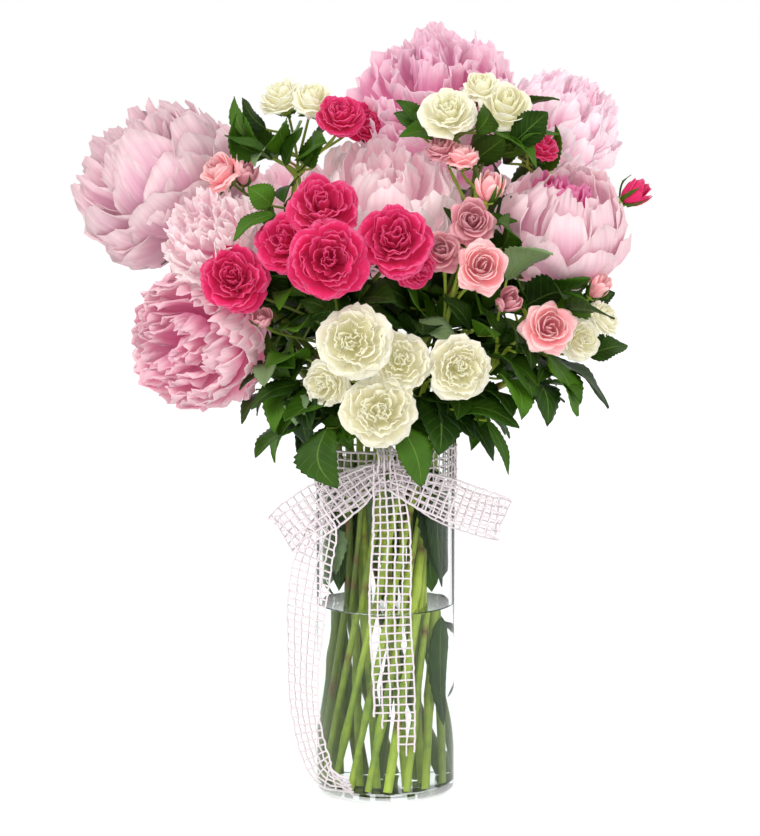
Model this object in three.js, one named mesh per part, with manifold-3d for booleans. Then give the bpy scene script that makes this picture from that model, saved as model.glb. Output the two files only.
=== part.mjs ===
// A bouquet of peonies and spray roses in a straight glass vase, tied with a net ribbon.
// Millimetres, +Z up. The origin is the middle of the face that the vase stands on, and the side
// of the bouquet that is looked at faces -Y.

import * as THREE from 'three';
import { ConvexGeometry } from 'three/addons/geometries/ConvexGeometry.js';
import { mergeVertices } from 'three/addons/utils/BufferGeometryUtils.js';
import Module from 'manifold-3d';

const wasm = await Module();
wasm.setup();

// ---------------------------------------------------------------- driving dimensions

const CLEARANCE = 0.35; // air between two pieces that touch

const VASE = { radius: 50, height: 250, glass: 3, bottom: 5, sides: 36 };
const WATER_LEVEL = 136;

const STEM = {
  footHeight: VASE.bottom + 0.7,
  neckHeight: VASE.height + 12,
  outerTwist: THREE.MathUtils.degToRad(88), // the stems cross the vase in a loose spiral
  innerTwist: THREE.MathUtils.degToRad(-60),
  peonyRadius: 3.2,
  roseRadius: 2.6,
  stalkRadius: 1.3,
  sides: 5,
  stalkSides: 3,
};
const OUTER_RING = 38; // how far from the axis the outer stems stand, at foot and neck
const INNER_RING = 20;

const LEAF_THICKNESS = 0.9;
const LEAF_ROWS = 5;

const RIBBON = {
  width: 30,
  thickness: 1.3,
  knotHeight: 238,
  knotFront: VASE.radius + 7, // how far in front of the axis the knot's middle lies
  knotHalfSize: [13, 7, 15],
  collarRadius: VASE.radius + CLEARANCE,
  sides: 24,
  leftLoop: { aim: [-73, -43], length: 84 },
  rightLoop: { aim: [81, -34], length: 88 },
};

// The middle lines of the ribbon's two loose ends, and the way each is wide at its start and end.
const FRONT_TAIL = {
  points: [[0, -58, 238], [4, -60, 200], [3, -56, 140], [6, -54, 80], [6, -55, 36]],
  wideStart: [1, 0, 0],
  wideEnd: [0.97, 0.12, 0],
  lengths: 5,
};
const LEFT_TAIL = {
  points: [
    [-2, -57, 236], [-28, -58, 226], [-50, -55, 176], [-58, -38, 109], [-57, -36, 60],
    [-44, -46, 22], [-26, -58, 18],
  ],
  wideStart: [0.3, 0.1, 1],
  wideEnd: [0.65, -0.75, 0.1],
  lengths: 8,
};

const COLOURS = {
  glass: { color: 0xe8f0ee, roughness: 0.04, metalness: 0 },
  water: { color: 0xdfeee6, roughness: 0.05, metalness: 0 },
  ribbon: { color: 0xece5e6, roughness: 0.85, metalness: 0 },
  peony: { color: 0xe9b9cf, roughness: 0.62, metalness: 0 },
  hotPink: { color: 0xe62a6c, roughness: 0.6, metalness: 0 },
  salmon: { color: 0xef9d98, roughness: 0.6, metalness: 0 },
  dusky: { color: 0xbc7f84, roughness: 0.65, metalness: 0 },
  cream: { color: 0xf3f0da, roughness: 0.6, metalness: 0 },
  green: { color: 0x35601f, roughness: 0.55, metalness: 0 },
};

// ---------------------------------------------------------------- the bouquet's plan
// at: the middle of the bloom; facing: where it looks; radius: of the ball that it fills.

const PEONIES = [
  {
    name: 'far_left', radius: 58, ring: OUTER_RING, neck: -168,
    at: [-164, 25, 433], facing: [-0.6, 0.25, 0.75],
  },
  {
    name: 'left', radius: 34, ring: OUTER_RING, neck: -131,
    at: [-118, -48, 398], facing: [-0.4, -0.6, 0.7],
  },
  {
    name: 'low_left', radius: 47, ring: OUTER_RING, neck: 174,
    at: [-130, -30, 330], facing: [-0.5, -0.8, -0.05],
  },
  {
    name: 'top', radius: 58, ring: INNER_RING, neck: 40,
    at: [36, 24, 493], facing: [-0.1, -0.5, 0.85],
  },
  {
    name: 'top_right', radius: 42, ring: OUTER_RING, neck: 42,
    at: [129, 55, 478], facing: [0.45, -0.3, 0.85],
  },
  {
    name: 'right', radius: 46, ring: OUTER_RING, neck: 0,
    at: [121, -28, 401], facing: [0.15, -0.5, 0.85],
  },
  {
    name: 'middle', radius: 51, ring: INNER_RING, neck: -110,
    at: [-4, -14, 418], facing: [0.05, -0.5, 0.86],
  },
  {
    name: 'back_left', radius: 48, ring: OUTER_RING, neck: 140,
    at: [-72, 95, 402], facing: [-0.35, 0.7, 0.55],
  },
  {
    name: 'back_right', radius: 48, ring: OUTER_RING, neck: 70,
    at: [66, 110, 398], facing: [0.4, 0.8, 0.45],
  },
];

// Each spray is one branching stem. Heads of one group grow into each other and are one body.
const SPRAYS = [
  {
    name: 'hot_pink_front', colour: 'hotPink', ring: OUTER_RING, neck: -108,
    heads: [
      { group: 'a', at: [-42, -94, 421], facing: [0, -0.85, 0.5], radius: 24 },
      { group: 'a', at: [-66, -90, 397], facing: [-0.3, -0.87, 0.35], radius: 22.5 },
      { group: 'b', at: [-38, -114, 386], facing: [0, -1, 0.15], radius: 27 },
      { group: 'c', at: [6, -98, 399], facing: [0.05, -0.9, 0.4], radius: 26 },
      { group: 'c', at: [20, -88, 382], facing: [0.5, -0.7, -0.3], radius: 17 },
      { group: 'd', at: [-102, -84, 373], facing: [-0.1, -0.95, 0.25], radius: 23.5 },
      {
        group: 'e', at: [-84, -74, 346], facing: [-0.1, -0.8, 0.5], radius: 9.5, bud: true,
        colour: 'dusky',
      },
    ],
  },
  {
    name: 'hot_pink_top', colour: 'hotPink', ring: INNER_RING, neck: -165, fork: [-62, -40, 440],
    heads: [
      { group: 'a', at: [-31, -48, 483], facing: [0.1, -0.75, 0.65], radius: 17 },
      { group: 'b', at: [-17, -4, 480], facing: [0.6, -0.6, 0.45], radius: 16, share: 1 },
    ],
  },
  {
    name: 'hot_pink_right', colour: 'hotPink', ring: OUTER_RING, neck: 20, fork: [125, 34, 438],
    heads: [
      { group: 'a', at: [106, -22, 464], facing: [0.5, -0.4, 0.75], radius: 16 },
      { group: 'b', at: [176, -6, 430], facing: [0.8, -0.25, 0.5], radius: 13, bud: true, share: 1 },
    ],
  },
  {
    name: 'salmon_front', colour: 'salmon', ring: OUTER_RING, neck: -62,
    heads: [
      { group: 'a', at: [58, -80, 411], facing: [0, -0.95, 0.3], radius: 17.5 },
      { group: 'b', at: [64, -95, 381], facing: [0, -0.97, 0.2], radius: 19.5 },
      { group: 'a', at: [38, -80, 391], facing: [-0.1, -0.95, 0.3], radius: 15.5 },
      { group: 'c', at: [70, -74, 434], facing: [0.1, -0.4, 0.9], radius: 12.5, bud: true },
    ],
  },
  {
    name: 'salmon_right', colour: 'salmon', ring: OUTER_RING, neck: -40,
    heads: [
      { group: 'a', at: [110, -86, 340], facing: [0.1, -0.97, 0.2], radius: 19.5 },
      { group: 'b', at: [82, -84, 358], facing: [0.3, -0.8, 0.4], radius: 11.5, bud: true },
      { group: 'c', at: [146, -56, 366], facing: [0.55, -0.4, 0.75], radius: 11, bud: true },
    ],
  },
  {
    name: 'dusky_top', colour: 'dusky', ring: INNER_RING, neck: -65, fork: [62, -46, 432],
    heads: [
      { group: 'a', at: [52, -60, 455], facing: [0, -0.3, 0.95], radius: 13 },
      { group: 'a', at: [38, -56, 461], facing: [-0.3, -0.5, 0.8], radius: 12 },
    ],
  },
  {
    name: 'salmon_left', colour: 'salmon', ring: OUTER_RING, neck: -152, fork: [-82, -20, 415],
    heads: [
      { group: 'a', at: [-113, -46, 445], facing: [-0.6, -0.5, 0.65], radius: 17 },
      { group: 'a', at: [-97, -42, 444], facing: [0.2, -0.6, 0.8], radius: 11, bud: true },
    ],
  },
  {
    name: 'cream_front', colour: 'cream', ring: OUTER_RING, neck: -85,
    heads: [
      { group: 'a', at: [-21, -104, 332], facing: [-0.05, -0.97, 0.2], radius: 25 },
      { group: 'a', at: [9, -90, 317], facing: [0.05, -0.97, 0.2], radius: 21 },
      { group: 'a', at: [-4, -94, 285], facing: [0.05, -0.97, 0.22], radius: 25.5 },
      { group: 'b', at: [-40, -82, 302], facing: [-0.4, -0.85, -0.2], radius: 16 },
      { group: 'c', at: [49, -90, 313], facing: [0.1, -0.97, 0.1], radius: 21.5 },
    ],
  },
  {
    name: 'cream_top', colour: 'cream', ring: INNER_RING, neck: -20, fork: [64, -34, 440],
    heads: [
      { group: 'a', at: [42, -64, 484], facing: [-0.1, -0.8, 0.6], radius: 20 },
      { group: 'b', at: [82, -46, 489], facing: [0.15, -0.8, 0.55], radius: 20.5 },
      { group: 'b', at: [66, -40, 503], facing: [-0.1, -0.6, 0.8], radius: 14 },
    ],
  },
  {
    name: 'cream_left', colour: 'cream', ring: INNER_RING, neck: 160, fork: [-66, -2, 420],
    heads: [
      { group: 'a', at: [-50, -34, 494], facing: [0.25, -0.55, 0.8], radius: 16 },
      { group: 'a', at: [-72, -22, 496], facing: [-0.3, -0.4, 0.85], radius: 17 },
    ],
  },
  {
    name: 'cream_right', colour: 'cream', ring: OUTER_RING, neck: -20,
    heads: [
      { group: 'a', at: [133, -60, 331], facing: [0.4, -0.8, 0.1], radius: 16 },
      { group: 'a', at: [150, -48, 344], facing: [0.7, -0.3, 0.5], radius: 14 },
    ],
  },
  {
    name: 'mixed_back', colour: 'cream', ring: OUTER_RING, neck: 105,
    heads: [
      { group: 'a', at: [-8, 118, 444], facing: [-0.05, 0.8, 0.6], radius: 22, colour: 'hotPink' },
      { group: 'b', at: [-18, 132, 384], facing: [-0.1, 0.95, 0.2], radius: 22 },
      { group: 'c', at: [-66, 120, 350], facing: [-0.4, 0.9, 0.1], radius: 20, colour: 'salmon' },
    ],
  },
];

// Leaves that the front of the bouquet shows: where the blade starts, where it ends, and how wide
// it is. Each grows from the stem that is nearest to its base.
const FRONT_LEAVES = [
  { base: [-86, -35, 460], tip: [-99, -30, 498], width: 24 },
  { base: [-78, -45, 454], tip: [-112, -55, 464], width: 18 },
  { base: [-69, -50, 449], tip: [-57, -52, 475], width: 20 },
  { base: [-78, -60, 422], tip: [-94, -62, 434], width: 20 },
  { base: [-51, -45, 447], tip: [-45, -42, 472], width: 24 },
  { base: [-28, -45, 325], tip: [-47, -50, 343], width: 20 },
  { base: [-75, -75, 416], tip: [-103, -85, 400], width: 20 },
  { base: [-62, -36, 292], tip: [-84, -40, 334], width: 22 },
  { base: [-31, -60, 337], tip: [-59, -66, 358], width: 22 },
  { base: [-59, -60, 299], tip: [-93, -62, 283], width: 20 },
  { base: [24, -46, 470], tip: [6, -40, 486], width: 18 },
  { base: [63, -50, 475], tip: [102, -60, 446], width: 30 },
  { base: [138, -30, 346], tip: [161, -26, 361], width: 18 },
  { base: [140, -42, 318], tip: [168, -40, 327], width: 26 },
  { base: [111, -60, 320], tip: [128, -70, 277], width: 34 },
  { base: [100, -55, 312], tip: [115, -52, 279], width: 20 },
  { base: [88, -78, 323], tip: [82, -84, 347], width: 16 },
  { base: [78, -60, 327], tip: [64, -66, 351], width: 20 },
  { base: [69, -75, 276], tip: [83, -78, 239], width: 12 },
  { base: [58, -62, 337], tip: [37, -70, 358], width: 20 },
  { base: [48, -60, 302], tip: [71, -64, 323], width: 22 },
  { base: [47, -70, 283], tip: [90, -85, 269], width: 24 },
  { base: [79, -60, 289], tip: [58, -66, 300], width: 18 },
  { base: [-40, -80, 271], tip: [-32, -88, 231], width: 31 },
  { base: [11, -84, 272], tip: [26, -90, 233], width: 26 },
  { base: [-55, -70, 293], tip: [-62, -76, 273], width: 22 },
  { base: [23, -66, 344], tip: [50, -74, 328], width: 20 },
];

// Leaves that the view from the front hides, round the back and the sides.
const BACK_LEAVES = [
  { base: [-52, 62, 372], tip: [-92, 88, 362], width: 26 },
  { base: [-30, 80, 330], tip: [-52, 112, 312], width: 24 },
  { base: [8, 84, 350], tip: [22, 122, 338], width: 24 },
  { base: [44, 70, 330], tip: [78, 98, 318], width: 26 },
  { base: [84, 44, 360], tip: [126, 56, 350], width: 26 },
  { base: [70, 26, 310], tip: [108, 36, 292], width: 24 },
  { base: [-74, 28, 330], tip: [-116, 40, 322], width: 24 },
  { base: [2, 60, 400], tip: [-6, 92, 414], width: 22 },
];
const LEAVES = [...FRONT_LEAVES, ...BACK_LEAVES];

// ---------------------------------------------------------------- small helpers

const vector = (values) => new THREE.Vector3(...values);
const unit = (values) => vector(values).normalize();

function seededRandom(seed) {
  let state = seed;
  return () => {
    state = (state * 1664525 + 1013904223) % 4294967296;
    return state / 4294967296;
  };
}

// A closed geometry as a solid. Points that coincide become one, and slivers between them go.
function solidOf(geometry) {
  const bare = new THREE.BufferGeometry();
  bare.setAttribute('position', geometry.getAttribute('position'));
  bare.setIndex(geometry.getIndex());
  const merged = mergeVertices(bare, 1e-4);
  const index = merged.getIndex().array;
  const triangles = [];
  for (let i = 0; i < index.length; i += 3) {
    const [a, b, c] = [index[i], index[i + 1], index[i + 2]];
    if (a !== b && b !== c && c !== a) triangles.push(a, b, c);
  }
  const vertProperties = new Float32Array(merged.getAttribute('position').array);
  const manifold = (corners) => (
    new wasm.Manifold(new wasm.Mesh({ numProp: 3, vertProperties, triVerts: new Uint32Array(corners) }))
  );
  const solid = manifold(triangles);
  return solid.volume() > 0 ? solid : manifold(triangles.reverse());
}

function geometryOf(solid) {
  const mesh = solid.getMesh();
  const geometry = new THREE.BufferGeometry();
  geometry.setAttribute('position', new THREE.BufferAttribute(mesh.vertProperties, 3));
  geometry.setIndex(new THREE.BufferAttribute(mesh.triVerts, 1));
  geometry.computeVertexNormals();
  return geometry;
}

const joined = (solids) => solids.reduce((sum, solid) => sum.add(solid));

// The largest body of a solid: loose scraps are dropped and sealed hollows are filled.
function oneBody(solid) {
  return solid.decompose().reduce((best, body) => (body.volume() > best.volume() ? body : best));
}

// A thin closed blade round a middle surface. point(across, along) gives that surface, across
// from -1 to 1 and along from 0 to 1. It starts in one point, and ends in one if it is pointed.
function bladeSolid(point, { columns, rows, thickness, pointed }) {
  const positions = [];
  const index = [];
  const grid = [];
  const step = 0.01;
  for (let row = 0; row <= rows; row += 1) {
    const pinched = row === 0 || (pointed && row === rows);
    const line = [];
    for (let column = 0; column <= (pinched ? 0 : columns); column += 1) {
      const across = pinched ? 0 : (2 * column) / columns - 1;
      const along = row / rows;
      const inner = THREE.MathUtils.clamp(along, 0.05, 0.95);
      const sideways = point(across + step, inner).sub(point(across - step, inner));
      const forward = point(across, inner + step).sub(point(across, inner - step));
      const offset = sideways.cross(forward).normalize().multiplyScalar(thickness / 2);
      const middle = point(across, along);
      line.push(positions.length / 3);
      positions.push(...middle.clone().add(offset).toArray(), ...middle.clone().sub(offset).toArray());
    }
    grid.push(line);
  }
  const front = (vertex) => vertex;
  const back = (vertex) => vertex + 1;
  const face = (a, b, c) => {
    index.push(front(a), front(b), front(c), back(a), back(c), back(b));
  };
  for (let row = 0; row < rows; row += 1) {
    const low = grid[row];
    const high = grid[row + 1];
    for (let column = 0; column < columns; column += 1) {
      const lowLeft = low[Math.min(column, low.length - 1)];
      const lowRight = low[Math.min(column + 1, low.length - 1)];
      const highLeft = high[Math.min(column, high.length - 1)];
      const highRight = high[Math.min(column + 1, high.length - 1)];
      if (highLeft !== highRight) face(lowLeft, highRight, highLeft);
      if (lowLeft !== lowRight) face(lowLeft, lowRight, highRight);
    }
  }
  const right = grid.map((line) => line[line.length - 1]);
  const left = grid.map((line) => line[0]);
  const top = grid[rows];
  const outline = [...right, ...top.slice(0, -1).reverse(), ...left.slice(1, -1).reverse()];
  outline.forEach((vertex, place) => {
    const next = outline[(place + 1) % outline.length];
    index.push(front(vertex), back(vertex), back(next), front(vertex), back(next), front(next));
  });
  const geometry = new THREE.BufferGeometry();
  geometry.setAttribute('position', new THREE.Float32BufferAttribute(positions, 3));
  geometry.setIndex(index);
  return solidOf(geometry);
}

// A round stem along a curve.
function tubeSolid(curve, radius, sides, steps) {
  const corners = Array.from({ length: sides }, (_, corner) => {
    const angle = (2 * Math.PI * corner) / sides;
    return new THREE.Vector2(radius * Math.cos(angle), radius * Math.sin(angle));
  });
  const section = new THREE.Shape(corners);
  return solidOf(new THREE.ExtrudeGeometry(section, { steps, extrudePath: curve, bevelEnabled: false }));
}

// A profile of [radius, height] points turned round +Z. It starts and ends on the axis.
function turnedGeometry(profile, sides) {
  const geometry = new THREE.LatheGeometry(profile.map(([x, y]) => new THREE.Vector2(x, y)), sides);
  return geometry.rotateX(Math.PI / 2);
}

// The frame of a bloom: +Z is where it faces, and its size is one radius.
function bloomFrame({ at, facing, radius }, roll) {
  const turn = new THREE.Quaternion().setFromAxisAngle(new THREE.Vector3(0, 0, 1), roll);
  const aim = new THREE.Quaternion().setFromUnitVectors(new THREE.Vector3(0, 0, 1), unit(facing));
  const size = new THREE.Vector3(radius, radius, radius);
  return new THREE.Matrix4().compose(vector(at), aim.multiply(turn), size);
}

// ---------------------------------------------------------------- blooms
// A bloom is one surface that runs from the middle of its underside over the rims of its whorls of
// petals to its heart. Each point is [radius, height, lobe] in bloom radii: a rim's lobe is how
// far its petals stand above the notches between them, and its sign says which way they are turned.

const ROSE = {
  petals: 5,
  profile: [
    [0, -0.64, 0], [0.42, -0.55, 0], [0.86, -0.2, 0], [1.0, 0.16, 0.13], [0.92, 0.18, 0.13],
    [0.64, -0.1, 0], [0.64, 0.42, -0.1], [0.36, 0.08, 0], [0.3, 0.52, 0.08], [0, 0.36, 0],
  ],
};
const BUD = {
  petals: 3,
  profile: [
    [0, -0.84, 0], [0.4, -0.66, 0], [0.72, -0.1, 0], [0.56, 0.5, 0.14], [0.48, 0.5, 0.14],
    [0.36, 0.2, 0], [0.24, 0.84, -0.08], [0, 0.66, 0],
  ],
};
const PEONY = {
  petals: 6,
  profile: [
    [0, -0.74, 0], [0.5, -0.68, 0], [0.92, -0.3, 0], [1.0, 0.16, 0.1], [0.93, 0.19, 0.1],
    [0.7, -0.12, 0], [0.8, 0.52, -0.11], [0.73, 0.55, -0.11], [0.5, 0.16, 0], [0.48, 0.8, 0.08],
    [0.24, 0.4, 0], [0.2, 0.88, -0.06], [0, 0.66, 0],
  ],
};

const roseKind = (head) => (head.bud ? BUD : ROSE);
const kindOf = (head, plant) => (plant.heads ? roseKind(head) : PEONY);

// How far under its middle each kind of bloom has its cup, in bloom radii.
const depthOf = (kind) => 0.04 - kind.profile[0][1];

function bloomSolid(head, { petals, profile }, random) {
  const sides = 2 * petals;
  const heights = Array.from({ length: sides * profile.length }, () => 0.6 + 0.8 * random());
  const geometry = new THREE.LatheGeometry(profile.map(([x, y]) => new THREE.Vector2(x, y)), sides);
  const position = geometry.getAttribute('position');
  for (let i = 0; i < position.count; i += 1) {
    const side = Math.floor(i / profile.length) % sides;
    const [, , depth] = profile[i % profile.length];
    const whorl = Math.round(10 * Math.abs(depth));
    const lobe = depth * heights[(side + whorl) % sides] * (side % 2 === 0 ? 1 : -1);
    const spread = 1 + 0.5 * lobe;
    position.setXYZ(i, position.getX(i) * spread, position.getY(i) + lobe, position.getZ(i) * spread);
  }
  const frame = bloomFrame(head, 2 * Math.PI * random());
  return solidOf(geometry.rotateX(Math.PI / 2).applyMatrix4(frame));
}

// The tight skin round a bloom, a little larger than the bloom about its own middle.
function skinSolid(solid, at, radius, air) {
  const positions = solid.getMesh().vertProperties;
  const points = [];
  for (let i = 0; i < positions.length; i += 3) points.push(new THREE.Vector3().fromArray(positions, i));
  const middle = vector(at);
  const growth = (radius + air) / radius;
  points.forEach((corner) => corner.sub(middle).multiplyScalar(growth).add(middle));
  return solidOf(new ConvexGeometry(points));
}

// The spaces that neighbours may not enter: the skins of the blooms that were placed before.
function withoutNeighbours(solid, skins) {
  const box = solid.boundingBox();
  const near = skins.filter(({ low, high }) => (
    [0, 1, 2].every((axis) => low[axis] < box.max[axis] && high[axis] > box.min[axis])
  ));
  return near.reduce((rest, skin) => rest.subtract(skin.solid), solid);
}

function withBox(solid) {
  const { min, max } = solid.boundingBox();
  return { solid, low: min, high: max };
}

// ---------------------------------------------------------------- stems, stalks and leaves

// Where a stem stands on the floor of the vase and where it leaves the rim. The stems of a ring
// lie on one twisted surface, so that straight stems pass each other.
function stemLine({ ring, neck }) {
  const twist = ring === OUTER_RING ? STEM.outerTwist : STEM.innerTwist;
  const neckAngle = THREE.MathUtils.degToRad(neck);
  const footAngle = neckAngle - twist;
  return new THREE.LineCurve3(
    new THREE.Vector3(ring * Math.cos(footAngle), ring * Math.sin(footAngle), STEM.footHeight),
    new THREE.Vector3(ring * Math.cos(neckAngle), ring * Math.sin(neckAngle), STEM.neckHeight),
  );
}

// A bend that leaves start along one direction and comes to end partly along another.
function bend(start, startDirection, end, endDirection, ease = 0.38) {
  const pull = ease * start.distanceTo(end);
  const arrival = end.clone().sub(start).normalize().multiplyScalar(0.6).add(endDirection).normalize();
  return new THREE.CubicBezierCurve3(
    start,
    start.clone().addScaledVector(startDirection, pull),
    end.clone().addScaledVector(arrival, -pull),
    end,
  );
}

const underside = (head, depth) => vector(head.at).addScaledVector(unit(head.facing), -depth * head.radius);

// The limbs of one plant: its stem, straight in the vase and bent above the rim, and a stalk to
// each head from where it branches. Each is a tube along a curve.
function plantLimbs(plant) {
  const line = stemLine(plant);
  const rise = line.getTangent(0);
  const start = line.v2;
  const heads = plant.heads ?? [plant];
  const ends = heads.map((head) => underside(head, depthOf(kindOf(head, plant)) + 0.12));
  const stem = new THREE.CurvePath();
  stem.add(line);
  if (!plant.heads) {
    stem.add(bend(start, rise, ends[0], unit(plant.facing)));
    return [{ curve: stem, radius: STEM.peonyRadius, sides: STEM.sides, steps: 7 }];
  }
  const middle = ends.reduce((sum, end) => sum.add(end), new THREE.Vector3()).divideScalar(ends.length);
  const fork = plant.fork ? vector(plant.fork) : middle.clone().lerp(start, 0.35);
  const upright = new THREE.Vector3(0, 0, 1);
  const forkDirection = middle.clone().sub(fork).normalize().lerp(upright, 0.35).normalize();
  stem.add(bend(start, rise, fork, forkDirection));
  const main = { curve: stem, radius: STEM.roseRadius, sides: STEM.sides, steps: 6 };
  const mainLine = middleLine(main);
  const stalks = ends.map((end, place) => {
    const share = heads[place].share ?? 1 - (0.12 * place) / ends.length;
    const branch = mainLine[Math.round(share * (mainLine.length - 1))];
    return {
      curve: bend(branch, forkDirection, end, unit(heads[place].facing)),
      radius: STEM.stalkRadius,
      sides: STEM.stalkSides,
      steps: 3,
    };
  });
  return [main, ...stalks];
}

// The green cup under a bloom, drawn out to five corners.
function cupSolid(head, kind, growth) {
  const top = -depthOf(kind) * head.radius + growth;
  const profile = [[0, top - 0.3 * head.radius - 3 * growth], [0.36 * head.radius + growth, top], [0, top]];
  return solidOf(turnedGeometry(profile, 5).applyMatrix4(bloomFrame({ ...head, radius: 1 }, 0)));
}

// The stem, stalks and cups of one plant. growth makes them thicker all round, to cut room for
// them in a neighbour.
function stemsSolid(plant, limbs, growth) {
  const tubes = limbs.map(({ curve, radius, sides, steps }) => (
    tubeSolid(curve, radius + growth, sides, steps)
  ));
  const cups = (plant.heads ?? [plant]).map((head) => cupSolid(head, kindOf(head, plant), growth));
  return joined([...tubes, ...cups]);
}

// The middle line of a tube as it is built, in straight lengths between its steps.
function middleLine({ curve, steps }, pointsPerStep = 8) {
  const corners = curve.getSpacedPoints(steps);
  const shares = Array.from({ length: pointsPerStep }, (_, part) => part / pointsPerStep);
  return corners.slice(1).flatMap((corner, place) => (
    shares.map((share) => corners[place].clone().lerp(corner, share))
  ));
}

// The point of a plant's tubes that lies nearest to a target, and below it.
function nearestPoint(limbs, target) {
  const points = limbs.flatMap((limb) => middleLine(limb)).filter(({ z }) => z < target.z - 2);
  return points.reduce((best, point) => (point.distanceTo(target) < best.distanceTo(target) ? point : best));
}

// A leaf: its narrow stalk leaves the stem, the blade widens, and its edge is cut into teeth.
// growth makes the same leaf thicker and wider all round, to cut room for it in a neighbour.
function leafSolid({ base, tip, width }, limbs, growth) {
  const rows = LEAF_ROWS;
  const start = vector(base);
  const end = vector(tip);
  const root = nearestPoint(limbs, start);
  const outward = new THREE.Vector3(start.x + end.x, start.y + end.y, 0).normalize();
  const upper = outward.multiplyScalar(0.8).add(new THREE.Vector3(0, 0, 0.6));
  const across = end.clone().sub(start).cross(upper).normalize();
  const arch = across.clone().cross(end.clone().sub(start)).multiplyScalar(0.14);
  const middle = start.clone().lerp(end, 0.5).add(arch);
  const baseAlong = 1 / rows;
  const blade = new THREE.QuadraticBezierCurve3(start, middle, end);
  const stalk = new THREE.LineCurve3(root, start);
  const point = (side, along) => {
    const onBlade = along > baseAlong;
    const share = (along - baseAlong) / (1 - baseAlong);
    const spot = onBlade ? blade.getPoint(share) : stalk.getPoint(along / baseAlong);
    const tooth = Math.round(along * rows) % 2 === 0 ? 1.1 : 0.86;
    const outline = onBlade ? Math.sin(Math.PI * Math.min(1, share ** 0.8)) * tooth : 0;
    const half = Math.max(1, (outline * width) / 2) + growth;
    const fold = Math.abs(side) * half * 0.22;
    return spot.addScaledVector(across, side * half).addScaledVector(upper, fold);
  };
  return bladeSolid(point, { columns: 2, rows, thickness: LEAF_THICKNESS + 2 * growth, pointed: true });
}

// ---------------------------------------------------------------- vase, water and ribbon

function vaseSolid() {
  const { radius, height, glass, bottom, sides } = VASE;
  const inner = radius - glass;
  const profile = [[0, 0], [radius, 0], [radius, height], [inner, height], [inner, bottom], [0, bottom]];
  return solidOf(turnedGeometry(profile, sides));
}

// Water with a plain hole for each stem that stands in it.
function waterSolid(plants) {
  const radius = (VASE.radius - VASE.glass) * Math.cos(Math.PI / VASE.sides) - CLEARANCE;
  const floor = VASE.bottom + CLEARANCE;
  const profile = [[0, floor], [radius, floor], [radius, WATER_LEVEL], [0, WATER_LEVEL]];
  const body = solidOf(turnedGeometry(profile, VASE.sides));
  const holeSides = 5;
  const holes = plants.map((plant) => {
    const line = stemLine(plant);
    const stemRadius = (plant.heads ? STEM.roseRadius : STEM.peonyRadius) + CLEARANCE;
    const path = new THREE.LineCurve3(line.getPoint(-0.05), line.getPoint(1));
    return tubeSolid(path, stemRadius / Math.cos(Math.PI / holeSides), holeSides, 1);
  });
  return body.subtract(joined(holes));
}

// A strip of ribbon along stations: each has the middle of the ribbon and the way it is wide.
function stripSolid(stations) {
  const { width, thickness } = RIBBON;
  const geometry = new THREE.BoxGeometry(width, 1, thickness, 1, stations.length - 1, 1);
  const position = geometry.getAttribute('position');
  for (let i = 0; i < position.count; i += 1) {
    const place = Math.round((0.5 - position.getY(i)) * (stations.length - 1));
    const before = stations[Math.max(place - 1, 0)].middle;
    const after = stations[Math.min(place + 1, stations.length - 1)].middle;
    const { middle, wide } = stations[place];
    const face = wide.clone().cross(after.clone().sub(before)).normalize();
    const spot = middle.clone().addScaledVector(wide, position.getX(i));
    position.setXYZ(i, ...spot.addScaledVector(face, position.getZ(i)).toArray());
  }
  return solidOf(geometry);
}

function tailSolid({ points, wideStart, wideEnd, lengths }) {
  const curve = new THREE.CatmullRomCurve3(points.map(vector), false, 'centripetal');
  const stations = Array.from({ length: lengths + 1 }, (_, place) => ({
    middle: curve.getPoint(place / lengths),
    wide: unit(wideStart).lerp(unit(wideEnd), place / lengths).normalize(),
  }));
  return stripSolid(stations);
}

// A bow loop seen from above: its share of the way out, and how far in front of the knot it is.
const LOOP_PROFILE = [
  [0, 2], [0.3, 7], [0.65, 9], [0.93, 5], [1, -0.5], [0.9, -5], [0.6, -4], [0.3, -2], [0, -2],
];

// A bow loop: out from the knot, round at its far end and back behind itself.
function loopSolid({ aim: [alongX, alongZ], length }) {
  const out = unit([alongX, 0, alongZ]);
  const wide = new THREE.Vector3(-out.z, 0, out.x);
  const knot = new THREE.Vector3(0, -RIBBON.knotFront, RIBBON.knotHeight);
  const curve = new THREE.CatmullRomCurve3(LOOP_PROFILE.map(([share, front]) => (
    knot.clone().addScaledVector(out, share * length).add(new THREE.Vector3(0, -front, 0))
  )), false, 'centripetal');
  const stations = curve.getPoints(LOOP_PROFILE.length - 1).map((middle) => ({ middle, wide }));
  return stripSolid(stations);
}

function ribbonSolid() {
  const { width, thickness, knotHeight, knotFront, knotHalfSize, collarRadius, sides } = RIBBON;
  const high = VASE.height + 1;
  const low = high - width;
  const inner = collarRadius / Math.cos(Math.PI / sides);
  const outer = inner + thickness;
  const section = [[inner, low], [outer, low], [outer, high], [inner, high], [inner, low]];
  const collar = solidOf(turnedGeometry(section, sides));
  const ball = new THREE.SphereGeometry(1, 8, 6).scale(...knotHalfSize);
  const knot = solidOf(ball.translate(0, -knotFront, knotHeight));
  const loops = [RIBBON.leftLoop, RIBBON.rightLoop].map(loopSolid);
  const tails = [FRONT_TAIL, LEFT_TAIL].map(tailSolid);
  return oneBody(joined([collar, knot, ...loops, ...tails]));
}

// ---------------------------------------------------------------- the whole bouquet

const random = seededRandom(7);
const pieces = [];
const skins = [];

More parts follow.
